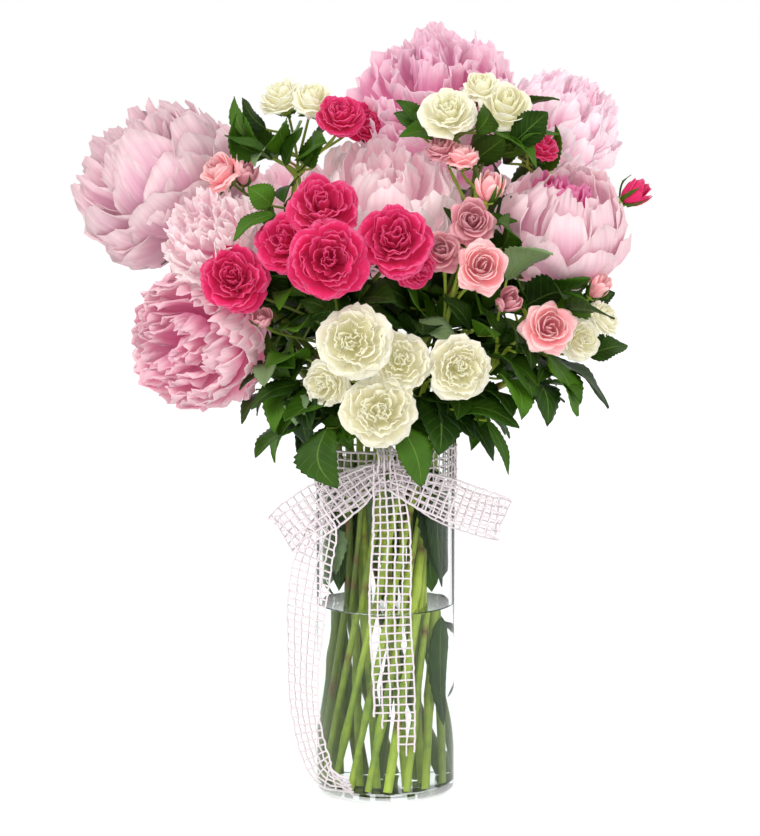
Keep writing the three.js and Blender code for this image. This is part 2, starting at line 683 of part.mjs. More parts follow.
// One node for the heads of a group, trimmed where the blooms placed before it stand.
function placeBlooms(name, heads, owner, colour) {
  const solids = heads.map((head) => bloomSolid(head, kindOf(head, owner), random));
  pieces.push({ name, solid: oneBody(withoutNeighbours(joined(solids), skins)), colour });
  heads.forEach(({ at, radius }, place) => {
    skins.push(withBox(skinSolid(solids[place], at, radius, CLEARANCE)));
  });
}

for (const spray of SPRAYS) {
  const groups = new Map();
  spray.heads.forEach((head) => groups.set(head.group, [...(groups.get(head.group) ?? []), head]));
  for (const [group, heads] of groups) {
    const name = groups.size > 1 ? `roses_${spray.name}_${group}` : `roses_${spray.name}`;
    placeBlooms(name, heads, spray, heads[0].colour ?? spray.colour);
  }
}
for (const peony of PEONIES) placeBlooms(`peony_${peony.name}`, [peony], peony, 'peony');

const plants = [...PEONIES, ...SPRAYS].map((plant) => ({ plant, limbs: plantLimbs(plant) }));
const stemRooms = plants.map(({ plant, limbs }) => withBox(stemsSolid(plant, limbs, CLEARANCE)));
const nearestPlant = (target) => plants.reduce((best, candidate) => (
  nearestPoint(candidate.limbs, target).distanceTo(target)
    < nearestPoint(best.limbs, target).distanceTo(target) ? candidate : best
));
const leafOwners = LEAVES.map((leaf) => nearestPlant(vector(leaf.base)));
const leafRooms = [];
plants.forEach(({ plant, limbs }, place) => {
  const leaves = LEAVES.filter((_, leaf) => leafOwners[leaf].plant === plant);
  const taken = [...stemRooms.filter((_, other) => other !== place), ...leafRooms];
  const blades = leaves.map((leaf) => withoutNeighbours(leafSolid(leaf, limbs, 0), taken));
  const whole = joined([stemsSolid(plant, limbs, 0), ...blades]);
  const name = plant.heads ? `spray_${plant.name}` : `stem_${plant.name}`;
  pieces.push({ name, solid: oneBody(withoutNeighbours(whole, skins)), colour: 'green' });
  leaves.forEach((leaf) => leafRooms.push(withBox(leafSolid(leaf, limbs, CLEARANCE))));
});

pieces.push({ name: 'vase', solid: vaseSolid(), colour: 'glass' });
pieces.push({ name: 'water', solid: waterSolid(plants.map(({ plant }) => plant)), colour: 'water' });
pieces.push({ name: 'ribbon', solid: ribbonSolid(), colour: 'ribbon' });

const bouquet = new THREE.Group();
bouquet.name = 'peonies_in_a_vase';
for (const { name, solid, colour } of pieces) {
  const mesh = new THREE.Mesh(geometryOf(solid), new THREE.MeshStandardMaterial(COLOURS[colour]));
  mesh.name = name;
  bouquet.add(mesh);
}

export default bouquet;
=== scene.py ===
"""Builds the look of a bouquet of peonies and spray roses that stands in a glass vase."""

import logging
import math
from dataclasses import dataclass, field, replace
from enum import Enum
from typing import Callable, Iterable, Sequence

import bpy
import numpy as np
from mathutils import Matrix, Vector


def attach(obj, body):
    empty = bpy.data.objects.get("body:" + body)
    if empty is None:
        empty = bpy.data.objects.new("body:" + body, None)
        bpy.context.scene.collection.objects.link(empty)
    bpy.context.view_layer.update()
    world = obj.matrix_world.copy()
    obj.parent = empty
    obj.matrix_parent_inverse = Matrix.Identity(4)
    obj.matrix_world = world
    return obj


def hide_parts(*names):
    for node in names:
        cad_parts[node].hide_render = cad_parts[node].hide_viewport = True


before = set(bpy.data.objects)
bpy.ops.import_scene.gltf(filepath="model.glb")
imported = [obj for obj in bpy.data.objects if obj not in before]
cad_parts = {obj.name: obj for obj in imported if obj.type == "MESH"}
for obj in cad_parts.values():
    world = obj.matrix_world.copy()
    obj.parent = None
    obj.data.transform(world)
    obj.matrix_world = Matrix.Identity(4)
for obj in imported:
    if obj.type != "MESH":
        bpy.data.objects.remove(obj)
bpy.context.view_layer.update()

logging.basicConfig(level=logging.INFO, format="%(message)s")
LOG = logging.getLogger("bouquet")

MM = 0.001
Point = tuple[float, float, float]
Array = np.ndarray

# The photograph's frame and the camera that sees the bouquet as it does.
FRAME_HEIGHT = 836
FOCAL_PIXELS = 2100
SENSOR = 36.0
CAMERA_PLACE = (-0.004, -1.5, 0.43)
CAMERA_TILT = 6.1

# Sizes of the vase and its water, in millimetres.
VASE_RADIUS = 50.0
VASE_HEIGHT = 250.0
GLASS = 3.0
BOTTOM = 5.0
WATER_LEVEL = 136.0
FOOT_HEIGHT = BOTTOM + 0.9
NECK_HEIGHT = VASE_HEIGHT + 12.0
# Radii of the stems and stalks, and how deep a stalk's end goes under its bloom, in its radii.
PEONY_STEM = 3.1
SPRAY_STEM = 2.4
STALK = 1.25
LEAF_STALK = 1.0
CUP_DEPTH = 0.1
# Where a spray forks, from the middle of its blooms toward the neck, how upright it goes on from
# there, and how much of the stem its stalks are spread over.
FORK_SHARE = 0.35
UPRIGHT = 0.35
STALK_SPREAD = 0.12
# How much higher than its root a leaf's blade starts.
LEAF_RISE = 2.0
INSIDE_REACH = VASE_RADIUS - GLASS - 1.0


class Ring(Enum):
    """The two rings of stems: how far from the axis they stand, and their twist in degrees."""

    OUTER = (38.0, 88.0)
    INNER = (20.0, -60.0)

    @property
    def radius(self) -> float:
        """Returns how far from the axis the stems stand, at foot and neck."""
        return self.value[0]

    @property
    def twist(self) -> float:
        """Returns how far round the vase the stems turn from foot to neck, in radians."""
        return math.radians(self.value[1])


# ------------------------------------------------------------------ small helpers


def unit(values: Iterable[float]) -> Array:
    """Returns a direction of length one."""
    vector = np.array(list(values), float)
    return vector / np.linalg.norm(vector)


def smooth(values: Array, low: float, high: float) -> Array:
    """Returns 0 below low, 1 above high and an even ease between them."""
    share = np.clip((values - low) / (high - low), 0.0, 1.0)
    return share * share * (3.0 - 2.0 * share)


def steps_between(points: Array) -> Array:
    """Returns the distance from each point of a line to the next."""
    return np.linalg.norm(np.diff(points, axis=0), axis=1)


def summed(steps: Array) -> Array:
    """Returns how far along a line each point is."""
    return np.concatenate([[0.0], np.cumsum(steps)])


def columns_between(where: Array, marks: Array, table: Array) -> Array:
    """Returns each column of a table at other places than its own marks."""
    columns = [np.interp(where, marks, column) for column in table.T]
    return np.column_stack(columns)


def linear(code: str) -> tuple[float, float, float, float]:
    """Turns a web colour into the linear colour that a shader takes.

    Args:
        code: six hexadecimal digits after a hash.

    Returns:
        Red, green, blue and an alpha of one.
    """
    values = [int(code[place : place + 2], 16) / 255 for place in (1, 3, 5)]
    red, green, blue = (
        v / 12.92 if v <= 0.04045 else ((v + 0.055) / 1.055) ** 2.4 for v in values
    )
    return (red, green, blue, 1.0)


def deselect() -> None:
    """Leaves nothing selected."""
    for obj in bpy.context.selected_objects:
        obj.select_set(False)


def only(obj: bpy.types.Object) -> None:
    """Makes one object the only one selected, and the active one."""
    deselect()
    obj.select_set(True)
    bpy.context.view_layer.objects.active = obj


def apply_modifier(
    obj: bpy.types.Object, kind: str, **settings: object
) -> bpy.types.Object:
    """Adds a modifier and applies it.

    Args:
        obj: the piece to change.
        kind: the modifier's type.
        **settings: values for its fields.

    Returns:
        The same piece.
    """
    only(obj)
    modifier = obj.modifiers.new(kind.lower(), kind)
    for name, value in settings.items():
        setattr(modifier, name, value)
    bpy.ops.object.modifier_apply(modifier=modifier.name)
    return obj


# ------------------------------------------------------------------ shader expressions


class Value:
    """A number or colour that varies over a surface, with Python's operators on it."""

    def __init__(self, look: "Look", socket: bpy.types.NodeSocket) -> None:
        """Wraps the output socket of a node in a look."""
        self.look = look
        self.socket = socket

    def _math(self, operation: str, first: object, second: object) -> "Value":
        """Returns the result of one Math node."""
        return self.look.add("ShaderNodeMath", {"operation": operation}, {0: first, 1: second})

    def __add__(self, other: object) -> "Value":
        """Adds."""
        return self._math("ADD", self, other)

    def __radd__(self, other: object) -> "Value":
        """Adds, from the right."""
        return self._math("ADD", other, self)

    def __sub__(self, other: object) -> "Value":
        """Subtracts."""
        return self._math("SUBTRACT", self, other)

    def __rsub__(self, other: object) -> "Value":
        """Subtracts from another."""
        return self._math("SUBTRACT", other, self)

    def __mul__(self, other: object) -> "Value":
        """Multiplies."""
        return self._math("MULTIPLY", self, other)

    def __abs__(self) -> "Value":
        """Drops the sign."""
        return self._math("ABSOLUTE", self, 0.0)

    def fraction(self) -> "Value":
        """Keeps the part after the decimal point."""
        return self._math("FRACT", self, 0.0)

    def ease(self, low: float, high: float) -> "Value":
        """Returns 0 below low, 1 above high and an even ease between them."""
        settings = {"interpolation_type": "SMOOTHSTEP"}
        return self.look.add("ShaderNodeMapRange", settings, {0: self, 1: low, 2: high})


class Look:
    """One material, written as expressions on values."""

    def __init__(self, name: str) -> None:
        """Starts an empty material.

        Args:
            name: the material's name.
        """
        self.material = bpy.data.materials.new(name)
        self.material.use_nodes = True
        self.tree = self.material.node_tree
        self.tree.nodes.clear()
        self.output = self.tree.nodes.new("ShaderNodeOutputMaterial")

    def node(
        self, kind: str, settings: dict[str, object], sockets: dict[object, object]
    ) -> bpy.types.Node:
        """Adds any node.

        Args:
            kind: the node's type.
            settings: its fields, set first.
            sockets: a value or a link for each named or numbered input.

        Returns:
            The node.
        """
        made = self.tree.nodes.new(kind)
        for name, setting in settings.items():
            setattr(made, name, setting)
        for name, value in sockets.items():
            if isinstance(value, Value):
                self.tree.links.new(value.socket, made.inputs[name])
            else:
                made.inputs[name].default_value = value
        return made

    def add(
        self,
        kind: str,
        settings: dict[str, object],
        sockets: dict[object, object],
        output: object = 0,
    ) -> Value:
        """Adds any node and returns one of its outputs."""
        return Value(self, self.node(kind, settings, sockets).outputs[output])

    def attribute(self, name: str) -> Value:
        """Returns a number that is stored on the piece's points."""
        return self.add("ShaderNodeAttribute", {"attribute_name": name}, {}, "Fac")

    def uv(self) -> tuple[Value, Value]:
        """Returns how far across and along its own petal, leaf or thread a point is."""
        place = self.add("ShaderNodeTexCoord", {}, {}, "UV")
        parts = self.node("ShaderNodeSeparateXYZ", {}, {0: place})
        return Value(self, parts.outputs[0]), Value(self, parts.outputs[1])

    def place(self) -> Value:
        """Returns the point's place on the piece."""
        return self.add("ShaderNodeTexCoord", {}, {}, "Object")

    def joined(self, x: object, y: object, z: object) -> Value:
        """Returns a vector made of three numbers."""
        return self.add("ShaderNodeCombineXYZ", {}, {0: x, 1: y, 2: z})

    def noise(self, where: Value, scale: float, detail: float = 2.0) -> Value:
        """Returns soft noise from 0 to 1."""
        sockets = {"Vector": where, "Scale": scale, "Detail": detail}
        return self.add("ShaderNodeTexNoise", {}, sockets)

    def mixed(self, share: object, first: object, second: object) -> Value:
        """Returns a colour between two others."""
        sockets = {0: share, 6: first, 7: second}
        return self.add("ShaderNodeMix", {"data_type": "RGBA"}, sockets, 2)

    def bump(self, height: Value, strength: float, distance: float) -> Value:
        """Returns a normal that follows small heights."""
        sockets = {"Height": height, "Strength": strength, "Distance": distance}
        return self.add("ShaderNodeBump", {}, sockets)

    def through(self, colour: str) -> Value:
        """Returns the shader of light that passes through a thin blade."""
        return self.add("ShaderNodeBsdfTranslucent", {}, {"Color": linear(colour)})

    def principled(self, **sockets: object) -> Value:
        """Returns the main surface shader. Underscores in names stand for spaces."""
        named = {name.replace("_", " "): value for name, value in sockets.items()}
        return self.add("ShaderNodeBsdfPrincipled", {}, named)

    def blend(self, share: object, first: Value, second: Value) -> Value:
        """Returns a mix of two shaders."""
        return self.add("ShaderNodeMixShader", {}, {0: share, 1: first, 2: second})

    def finish(self, surface: Value) -> bpy.types.Material:
        """Connects the surface and returns the material."""
        self.tree.links.new(surface.socket, self.output.inputs["Surface"])
        return self.material


@dataclass(frozen=True)
class PetalFinish:
    """Petals: deep colour where they start, a pale rim, fine veins that run along them, and a
    painted glow of their own colour that lightens their shaded folds.
    """

    name: str
    slot: str
    deep: str
    middle: str
    rim: str
    heart: str
    deep_end: float = 0.35
    rim_start: float = 0.75
    heart_share: float = 0.0
    glow: float = 0.3
    roughness: float = 0.6
    veins: float = 0.25
    spread: float = 0.08
    # Strength of a painted glow: the petals emit their own colour, so that their shaded folds stay
    # bright.
    own_light: float = 0.14
    streaks: float = 22.0
    wash_scale: float = 60.0

    def material(self) -> bpy.types.Material:
        """Builds the material."""
        look = Look(self.name)
        across, along = look.uv()
        tint = look.attribute("tint")
        inner = look.attribute("inner")
        lengthwise = look.joined(across * self.streaks + tint * 40.0, along * 1.6, tint * 9.0)
        vein = look.noise(lengthwise, 1.0, 3.0)
        wash = look.noise(look.place(), self.wash_scale, 2.0)
        reach = along + (wash - 0.5) * 0.25 + (vein - 0.5) * 0.2
        deepest = reach.ease(0.0, self.deep_end)
        colour = look.mixed(deepest, linear(self.deep), linear(self.middle))
        colour = look.mixed(reach.ease(self.rim_start, 1.02), colour, linear(self.rim))
        colour = look.mixed(inner * self.heart_share, colour, linear(self.heart))
        light = 1.0 + (vein - 0.5) * self.veins + tint * self.spread
        colour = look.add("ShaderNodeHueSaturation", {}, {"Value": light, "Color": colour})
        soft = look.principled(
            Base_Color=colour,
            Roughness=self.roughness,
            Specular_IOR_Level=0.3,
            Sheen_Weight=0.1,
            # Painted glow: the petal's own colour is emitted at a set strength to lighten where
            # shade falls.
            Emission_Color=colour,
            Emission_Strength=self.own_light,
            Normal=look.bump(vein, 0.35, 0.0006),
        )
        return look.finish(look.blend(self.glow, soft, look.through(self.middle)))


@dataclass(frozen=True)
class LeafFinish:
    """Leaves: dark green with a pale midrib and side veins."""

    name: str = "leaf_green"
    slot: str = "leaf_green"
    dark: str = "#152F08"
    light: str = "#4B7914"
    rib: str = "#84A84A"
    under: str = "#8FA67C"
    lit: str = "#5C8F20"
    glow: float = 0.12
    veins_per_leaf: float = 7.0
    vein_share: float = 0.13
    rib_share: float = 0.4

    def material(self) -> bpy.types.Material:
        """Builds the material."""
        look = Look(self.name)
        across, along = look.uv()
        tint = look.attribute("tint")
        side = abs(across - 0.5) * 2.0
        wave = (along * self.veins_per_leaf - side * 1.9 + tint).fraction()
        vein = abs(wave - 0.5).ease(0.36, 0.5) * (1.0 - side * 0.5)
        rib = 1.0 - side.ease(0.015, 0.07)
        cloud = look.noise(look.place(), 45.0, 3.0)
        shade = cloud * 0.75 + tint * 0.45 + 0.1
        colour = look.mixed(shade, linear(self.dark), linear(self.light))
        colour = look.mixed(tint.ease(0.86, 0.9) * 0.7, colour, linear(self.under))
        colour = look.mixed(vein * self.vein_share, colour, linear(self.rib))
        colour = look.mixed(rib * self.rib_share, colour, linear(self.rib))
        soft = look.principled(
            Base_Color=colour,
            Roughness=0.4 + cloud * 0.15,
            Specular_IOR_Level=0.2,
            Normal=look.bump(0.0 - vein - rib, 0.5, 0.0007),
        )
        return look.finish(look.blend(self.glow, soft, look.through(self.lit)))


@dataclass(frozen=True)
class StemFinish:
    """Stems: fresh yellow green, darker in streaks, with brown where leaves were cut, and a faint
    painted glow of their own colour.
    """

    name: str = "stem_green"
    slot: str = "leaf_green"
    dark: str = "#5F7F24"
    # Dark olive that the stems are mixed toward: mostly painted shade on stems at the back of the
    # water, partly their own tone.
    light: str = "#B2C642"
    olive_and_back_shade: str = "#2B4216"
    scar: str = "#6A4A2C"
    broad_scale: float = 18.0
    fine_scale: float = 160.0

    def material(self) -> bpy.types.Material:
        """Builds the material."""
        look = Look(self.name)
        where = look.place()
        broad = look.noise(where, self.broad_scale, 2.0)
        fine = look.noise(where, self.fine_scale, 3.0)
        knot = look.attribute("knot")
        shade = (broad * 0.85 + fine * 0.4 - 0.05).ease(0.25, 0.8)
        colour = look.mixed(shade, linear(self.dark), linear(self.light))
        # Painted shade: stems that stand at the back of the water darken toward olive; a small
        # random share is their own tone.
        colour = look.mixed(look.attribute("age") * 0.92, colour, linear(self.olive_and_back_shade))
        colour = look.mixed(knot * fine.ease(0.3, 0.6), colour, linear(self.scar))
        return look.finish(
            look.principled(
                Base_Color=colour,
                # Painted glow: the stems emit a tenth of their own colour, so that they stay bright
                # in shade.
                Emission_Color=colour,
                Emission_Strength=0.1,
                Roughness=0.42 + fine * 0.15,
                Normal=look.bump(fine, 0.3, 0.0005),
            )
        )


@dataclass(frozen=True)
class ClearFinish:
    """Glass or water: clear, and it lets light through to what stands in it."""

    name: str
    slot: str
    colour: str
    bending: float
    mirror: float
    shadow: str = "#F4F8F6"

    def material(self) -> bpy.types.Material:
        """Builds the material."""
        look = Look(self.name)
        clear = look.principled(
            Base_Color=linear(self.colour),
            Roughness=0.0,
            IOR=self.bending,
            Specular_IOR_Level=self.mirror,
            Transmission_Weight=1.0,
        )
        open_to_light = look.add("ShaderNodeBsdfTransparent", {}, {"Color": linear(self.shadow)})
        in_shadow = look.add("ShaderNodeLightPath", {}, {}, "Is Shadow Ray")
        return look.finish(look.blend(in_shadow, clear, open_to_light))


@dataclass(frozen=True)
class ThreadFinish:
    """Cotton thread: pale, matt and twisted."""

    name: str = "cotton_net"
    slot: str = "net_ribbon"
    dark: str = "#DDD0D4"
    light: str = "#F5EDF0"
    cloudy: str = "#E2D4D9"
    fibre_scale: float = 900.0
    cloud_scale: float = 60.0

    def material(self) -> bpy.types.Material:
        """Builds the material."""
        look = Look(self.name)
        where = look.place()
        fibre = look.noise(where, self.fibre_scale, 3.0)
        cloud = look.noise(where, self.cloud_scale, 2.0)
        colour = look.mixed(fibre, linear(self.dark), linear(self.light))
        colour = look.mixed(cloud * 0.3, colour, linear(self.cloudy))
        return look.finish(
            look.principled(
                Base_Color=colour,
                Roughness=0.85,
                Sheen_Weight=0.3,
                Normal=look.bump(fibre, 0.6, 0.0004),
            )
        )


GLASS_FINISH = ClearFinish("clear_glass", "clear_glass", "#FDFFFE", 1.14, 0.5)
WATER_FINISH = ClearFinish("water", "water", "#FAFDFC", 1.333, 0.2)

PEONY_PINK = PetalFinish(
    "peony_pink", "peony_petal", "#D85F9C", "#F0ABC9", "#FAE5E7", "#D35494",
    heart_share=0.25, deep_end=0.6, rim_start=0.58,
)
PEONY_MAUVE = PetalFinish(
    "peony_mauve", "peony_petal", "#D084A7", "#DCACBF", "#E9D2D4", "#CB76A0",
    heart_share=0.2, rim_start=0.6, veins=0.4,
)
PEONY_PALE = PetalFinish(
    "peony_pale", "peony_petal", "#D380AA", "#E7B9CC", "#F3DCDE", "#D279A6",
    heart_share=0.3, deep_end=0.4, rim_start=0.55, veins=0.3, own_light=0.16,
)
PEONY_WHITE = PetalFinish(
    "peony_white", "peony_petal", "#E693B7", "#F2D6DE", "#F9EEEC", "#E381AD",
    heart_share=0.25, deep_end=0.5, rim_start=0.5, own_light=0.18,
)
PEONY_BLUSH = PetalFinish(
    "peony_blush", "peony_petal", "#F29FC8", "#FDD9E8", "#FDF7F9", "#EF8FBD",
    heart_share=0.25, deep_end=0.45, rim_start=0.6,
)
PEONY_DEEP = PetalFinish(
    "peony_deep", "peony_petal", "#D35BA0", "#F2B6D5", "#FCE6ED", "#CB4B90",
    heart_share=0.3, deep_end=0.66, rim_start=0.62,
)
PEONY_HEART = PetalFinish(
    "peony_heart", "peony_petal", "#C02070", "#DB4C93", "#EE93BD", "#B01860",
    deep_end=0.5, rim_start=0.8,
)
HOT_PINK = PetalFinish(
    "rose_hot_pink", "hot_pink_petal", "#B70D4B", "#E52D70", "#EE6295", "#B91251",
    deep_end=0.45, rim_start=0.92, heart_share=0.3, veins=0.3, own_light=0.12,
)
SALMON = PetalFinish(
    "rose_salmon", "salmon_petal", "#E78C99", "#FDC0C3", "#FDE5E1", "#B14660",
    deep_end=0.6, rim_start=0.8, heart_share=0.5,
)
DUSKY = PetalFinish(
    "rose_dusky", "dusky_petal", "#BC6878", "#E19CA8", "#F0BDC0", "#92384E",
    deep_end=0.6, rim_start=0.8, heart_share=0.45,
)
CREAM = PetalFinish(
    "rose_cream", "cream_petal", "#EAE7BD", "#F5F2DE", "#F9F7EB", "#E1DD9D",
    deep_end=0.6, rim_start=0.75, heart_share=0.4, spread=0.04, veins=0.14, own_light=0.14,
)
LEAF = LeafFinish()
STEM_LOOK = StemFinish()
THREAD = ThreadFinish()


class Finishes:
    """Keeps one material for each finish."""

    def __init__(self) -> None:
        """Starts with none made."""
        self.made: dict[str, bpy.types.Material] = {}

    def dress(self, obj: bpy.types.Object, finish: object) -> bpy.types.Object:
        """Gives a piece its material.

        Args:
            obj: the piece.
            finish: one of the finishes.

        Returns:
            The same piece.
        """
        if finish.name not in self.made:
            self.made[finish.name] = finish.material()
        obj.data.materials.clear()
        obj.data.materials.append(self.made[finish.name])
        return obj


FINISHES = Finishes()


def settle(obj: bpy.types.Object, finish: object, *nodes: str) -> bpy.types.Object:
    """Dresses a finished piece, puts it on the body and lets it stand for its solids.

    Args:
        obj: the piece.
        finish: what it is dressed in.
        *nodes: the solids that it stands for.

    Returns:
        The same piece.
    """
    FINISHES.dress(obj, finish)
    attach(obj, "root")
    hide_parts(*nodes)
    LOG.info("%s: %d faces", obj.name, len(obj.data.polygons))
    return obj


# ------------------------------------------------------------------ bent copies of a grid


class MasterGrid:
    """One flat grid that is added once. Its copies are bent into petals or leaf blades."""

    def __init__(self, columns: int, rows: int) -> None:
        """Adds the grid and keeps its points and faces.

        Args:
            columns: how many faces it has across.
            rows: how many it has along.
        """
        deselect()
        bpy.ops.mesh.primitive_grid_add(x_subdivisions=columns, y_subdivisions=rows, size=2.0)
        obj = bpy.context.object
        points = np.array([vertex.co for vertex in obj.data.vertices])
        self.columns = columns
        self.across = points[:, 0]
        self.along = (points[:, 1] + 1.0) / 2.0
        self.column = np.rint((self.across + 1.0) / 2.0 * columns).astype(int)
        self.row = np.rint(self.along * rows).astype(int)
        self.faces = np.array([list(face.vertices) for face in obj.data.polygons])
        bpy.data.objects.remove(obj)


@dataclass
class Sheaf:
    """Bent grids that are gathered into one mesh."""

    name: str
    points: list[Array] = field(default_factory=list)
    faces: list[Array] = field(default_factory=list)
    uvs: list[Array] = field(default_factory=list)
    tints: list[Array] = field(default_factory=list)
    inners: list[Array] = field(default_factory=list)
    count: int = 0

    def add(self, grid: MasterGrid, points: Array, tint: float, inner: float) -> None:
        """Adds one bent copy of a grid.

        Args:
            grid: the grid.
            points: where its points went, in millimetres.
            tint: how light this copy is, from -1 to 1.
            inner: how near the heart it is, from 0 to 1.
        """
        self.points.append(points * MM)
        self.faces.append(grid.faces + self.count)
        self.uvs.append(np.column_stack([(grid.across + 1.0) / 2.0, grid.along]))
        self.tints.append(np.full(len(points), tint))
        self.inners.append(np.full(len(points), inner))
        self.count += len(points)

    def piece(self, thickness: float) -> bpy.types.Object:
        """Makes the mesh and gives its blades a thickness.

        Args:
            thickness: of each blade, in millimetres.

        Returns:
            The piece.
        """
        mesh = bpy.data.meshes.new(self.name)
        faces = np.concatenate(self.faces)
        mesh.from_pydata(np.concatenate(self.points).tolist(), [], faces.tolist())
        layer = mesh.uv_layers.new(name="along_blade")
        layer.data.foreach_set("uv", np.concatenate(self.uvs)[faces.ravel()].ravel())
        for name, values in (("tint", self.tints), ("inner", self.inners)):
            store = mesh.attributes.new(name, "FLOAT", "POINT")
            store.data.foreach_set("value", np.concatenate(values))
        obj = bpy.data.objects.new(self.name, mesh)
        bpy.context.scene.collection.objects.link(obj)
        apply_modifier(obj, "SOLIDIFY", thickness=thickness * MM, offset=0.0)
        only(obj)
        bpy.ops.object.shade_smooth()
        return obj


# ------------------------------------------------------------------ blooms


@dataclass(frozen=True)
class Whorl:
    """A ring of like petals. Lengths are in bloom radii and angles in degrees.

    polar and reach say where the rims are: how far they lean from the way that the bloom
    faces, and how far they are from its middle. leave and arrive are the directions that a
    petal has at its root and at its rim, from the same axis.
    """

    count: int
    polar: float
    reach: float
    leave: float
    arrive: float
    half_width: float
    wrap: float = 0.7
    rounding: float = 0.3
    shoulder: float = 2.6
    taper: float = 0.08
    notch: float = 0.0
    frill: float = 0.02
    ruffle: float = 0.04
    curl: float = 0.05
    roll: float = 0.0
    root: float = -0.6
    inner: float = 0.0
    scatter: float = 1.0


def bloom_axes(facing: Sequence[float], roll: float) -> Array:
    """Returns the three axes of a bloom as rows, the last the way that it faces."""
    forward = unit(facing)
    side = unit(np.cross((0.0, 0.0, 1.0) if abs(forward[2]) < 0.9 else (0.0, 1.0, 0.0), forward))
    up = np.cross(forward, side)
    cos, sin = math.cos(roll), math.sin(roll)
    return np.array([side * cos + up * sin, up * cos - side * sin, forward])


# How much the petals of a ring differ: degrees of lean and of tip, and share of the reach.
LEAN_SPREAD = 4.5
TIP_SPREAD = 9.0
REACH_SPREAD = 0.035
TILT_SPREAD = 0.1
NOTCH_SPREAD = 0.2
# How far a petal keeps its direction at the root and at the rim, in shares of its length.
ROOT_PULL = 0.42
RIM_PULL = 0.38
# A petal's shape: the root's distance from the axis, its width there and where it is widest.
ROOT_GAP = 0.07
ROOT_WIDTH = 0.2
WIDEST = 0.7
NOTCH_WIDTH = 0.22
TIGHTEST_HOOP = 0.12
WIDEST_HOOP = 2.3


def petal_points(
    grid: MasterGrid, whorl: Whorl, azimuth: float, draw: np.random.Generator
) -> Array:
    """Bends one copy of the grid into a petal.

    Args:
        grid: the flat grid.
        whorl: the petal's form.
        azimuth: where it stands round the bloom.
        draw: the source of chance.

    Returns:
        Its points in the bloom's own axes, in bloom radii.
    """
    across, along = grid.across, grid.along
    loose = whorl.scatter
    polar = math.radians(whorl.polar + loose * draw.normal(0.0, LEAN_SPREAD))
    reach = whorl.reach * (1.0 + loose * draw.normal(0.0, REACH_SPREAD))
    leave = math.radians(whorl.leave)
    arrive = math.radians(whorl.arrive + loose * draw.normal(0.0, TIP_SPREAD))
    teeth = draw.uniform(-1.0, 1.0, grid.columns + 1)[grid.column]
    waves = draw.uniform(0.0, 2.0 * math.pi, 6)

    height = along * (1.0 - whorl.rounding * np.abs(across) ** whorl.shoulder)
    beside = across - draw.normal(0.0, NOTCH_SPREAD)
    split = whorl.notch * np.exp(-((beside / NOTCH_WIDTH) ** 2))
    scallop = 0.5 * teeth + 0.4 * np.sin(6.5 * across + waves[4])
    scallop = scallop + 0.5 * np.sin(14.0 * across + waves[5])
    height = height + along**4 * (whorl.frill * scallop - split)

    start = np.array([ROOT_GAP, whorl.root])
    end = reach * np.array([math.sin(polar), math.cos(polar)])
    chord = np.linalg.norm(end - start)
    first = start + ROOT_PULL * chord * np.array([math.sin(leave), math.cos(leave)])
    last = end - RIM_PULL * chord * np.array([math.sin(arrive), math.cos(arrive)])
    t = height[:, None]
    s = 1.0 - t
    line = s**3 * start + 3 * s**2 * t * first + 3 * s * t**2 * last + t**3 * end
    slope = 3 * s**2 * (first - start) + 6 * s * t * (last - first) + 3 * t**2 * (end - last)
    slope /= np.linalg.norm(slope, axis=1, keepdims=True)
    inward = np.column_stack([-slope[:, 1], slope[:, 0]])

    swell = np.sin(0.5 * np.pi * np.minimum(1.0, height / WIDEST))
    width = whorl.half_width * (ROOT_WIDTH + (1.0 - ROOT_WIDTH) * swell)
    width = width * (1.0 - whorl.taper * smooth(along, 0.65, 1.05))
    hoop = np.maximum(line[:, 0], TIGHTEST_HOOP) / whorl.wrap
    angle = np.clip(across * width / hoop, -WIDEST_HOOP, WIDEST_HOOP)
    sideways = hoop * np.sin(angle)
    lift = hoop * (1.0 - np.cos(angle))

    ripple = np.sin(5.2 * across + 3.0 * along + waves[0]) * (0.35 + 0.65 * np.abs(across))
    ripple = ripple + 0.6 * np.sin(9.5 * across + 5.0 * along + waves[1])
    lift = lift + whorl.ruffle * ripple * along**1.6
    lift = lift + 0.6 * whorl.ruffle * np.sin(4.0 * along + waves[2]) * along
    lift = lift - whorl.curl * smooth(along, 0.6, 1.0) ** 2
    lift = lift - whorl.roll * np.abs(across) ** 2.5 * smooth(along, 0.25, 1.0)
    line = line + inward * lift[:, None]
    sideways = sideways + 0.5 * whorl.ruffle * np.sin(6.0 * along + waves[3]) * along

    tilt = loose * draw.normal(0.0, TILT_SPREAD)
    sideways = sideways + tilt * (line[:, 1] - whorl.root)
    out = np.array([math.cos(azimuth), math.sin(azimuth), 0.0])
    along_hoop = np.array([-math.sin(azimuth), math.cos(azimuth), 0.0])
    axis = np.array([0.0, 0.0, 1.0])
    return line[:, :1] * out + sideways[:, None] * along_hoop + line[:, 1:] * axis


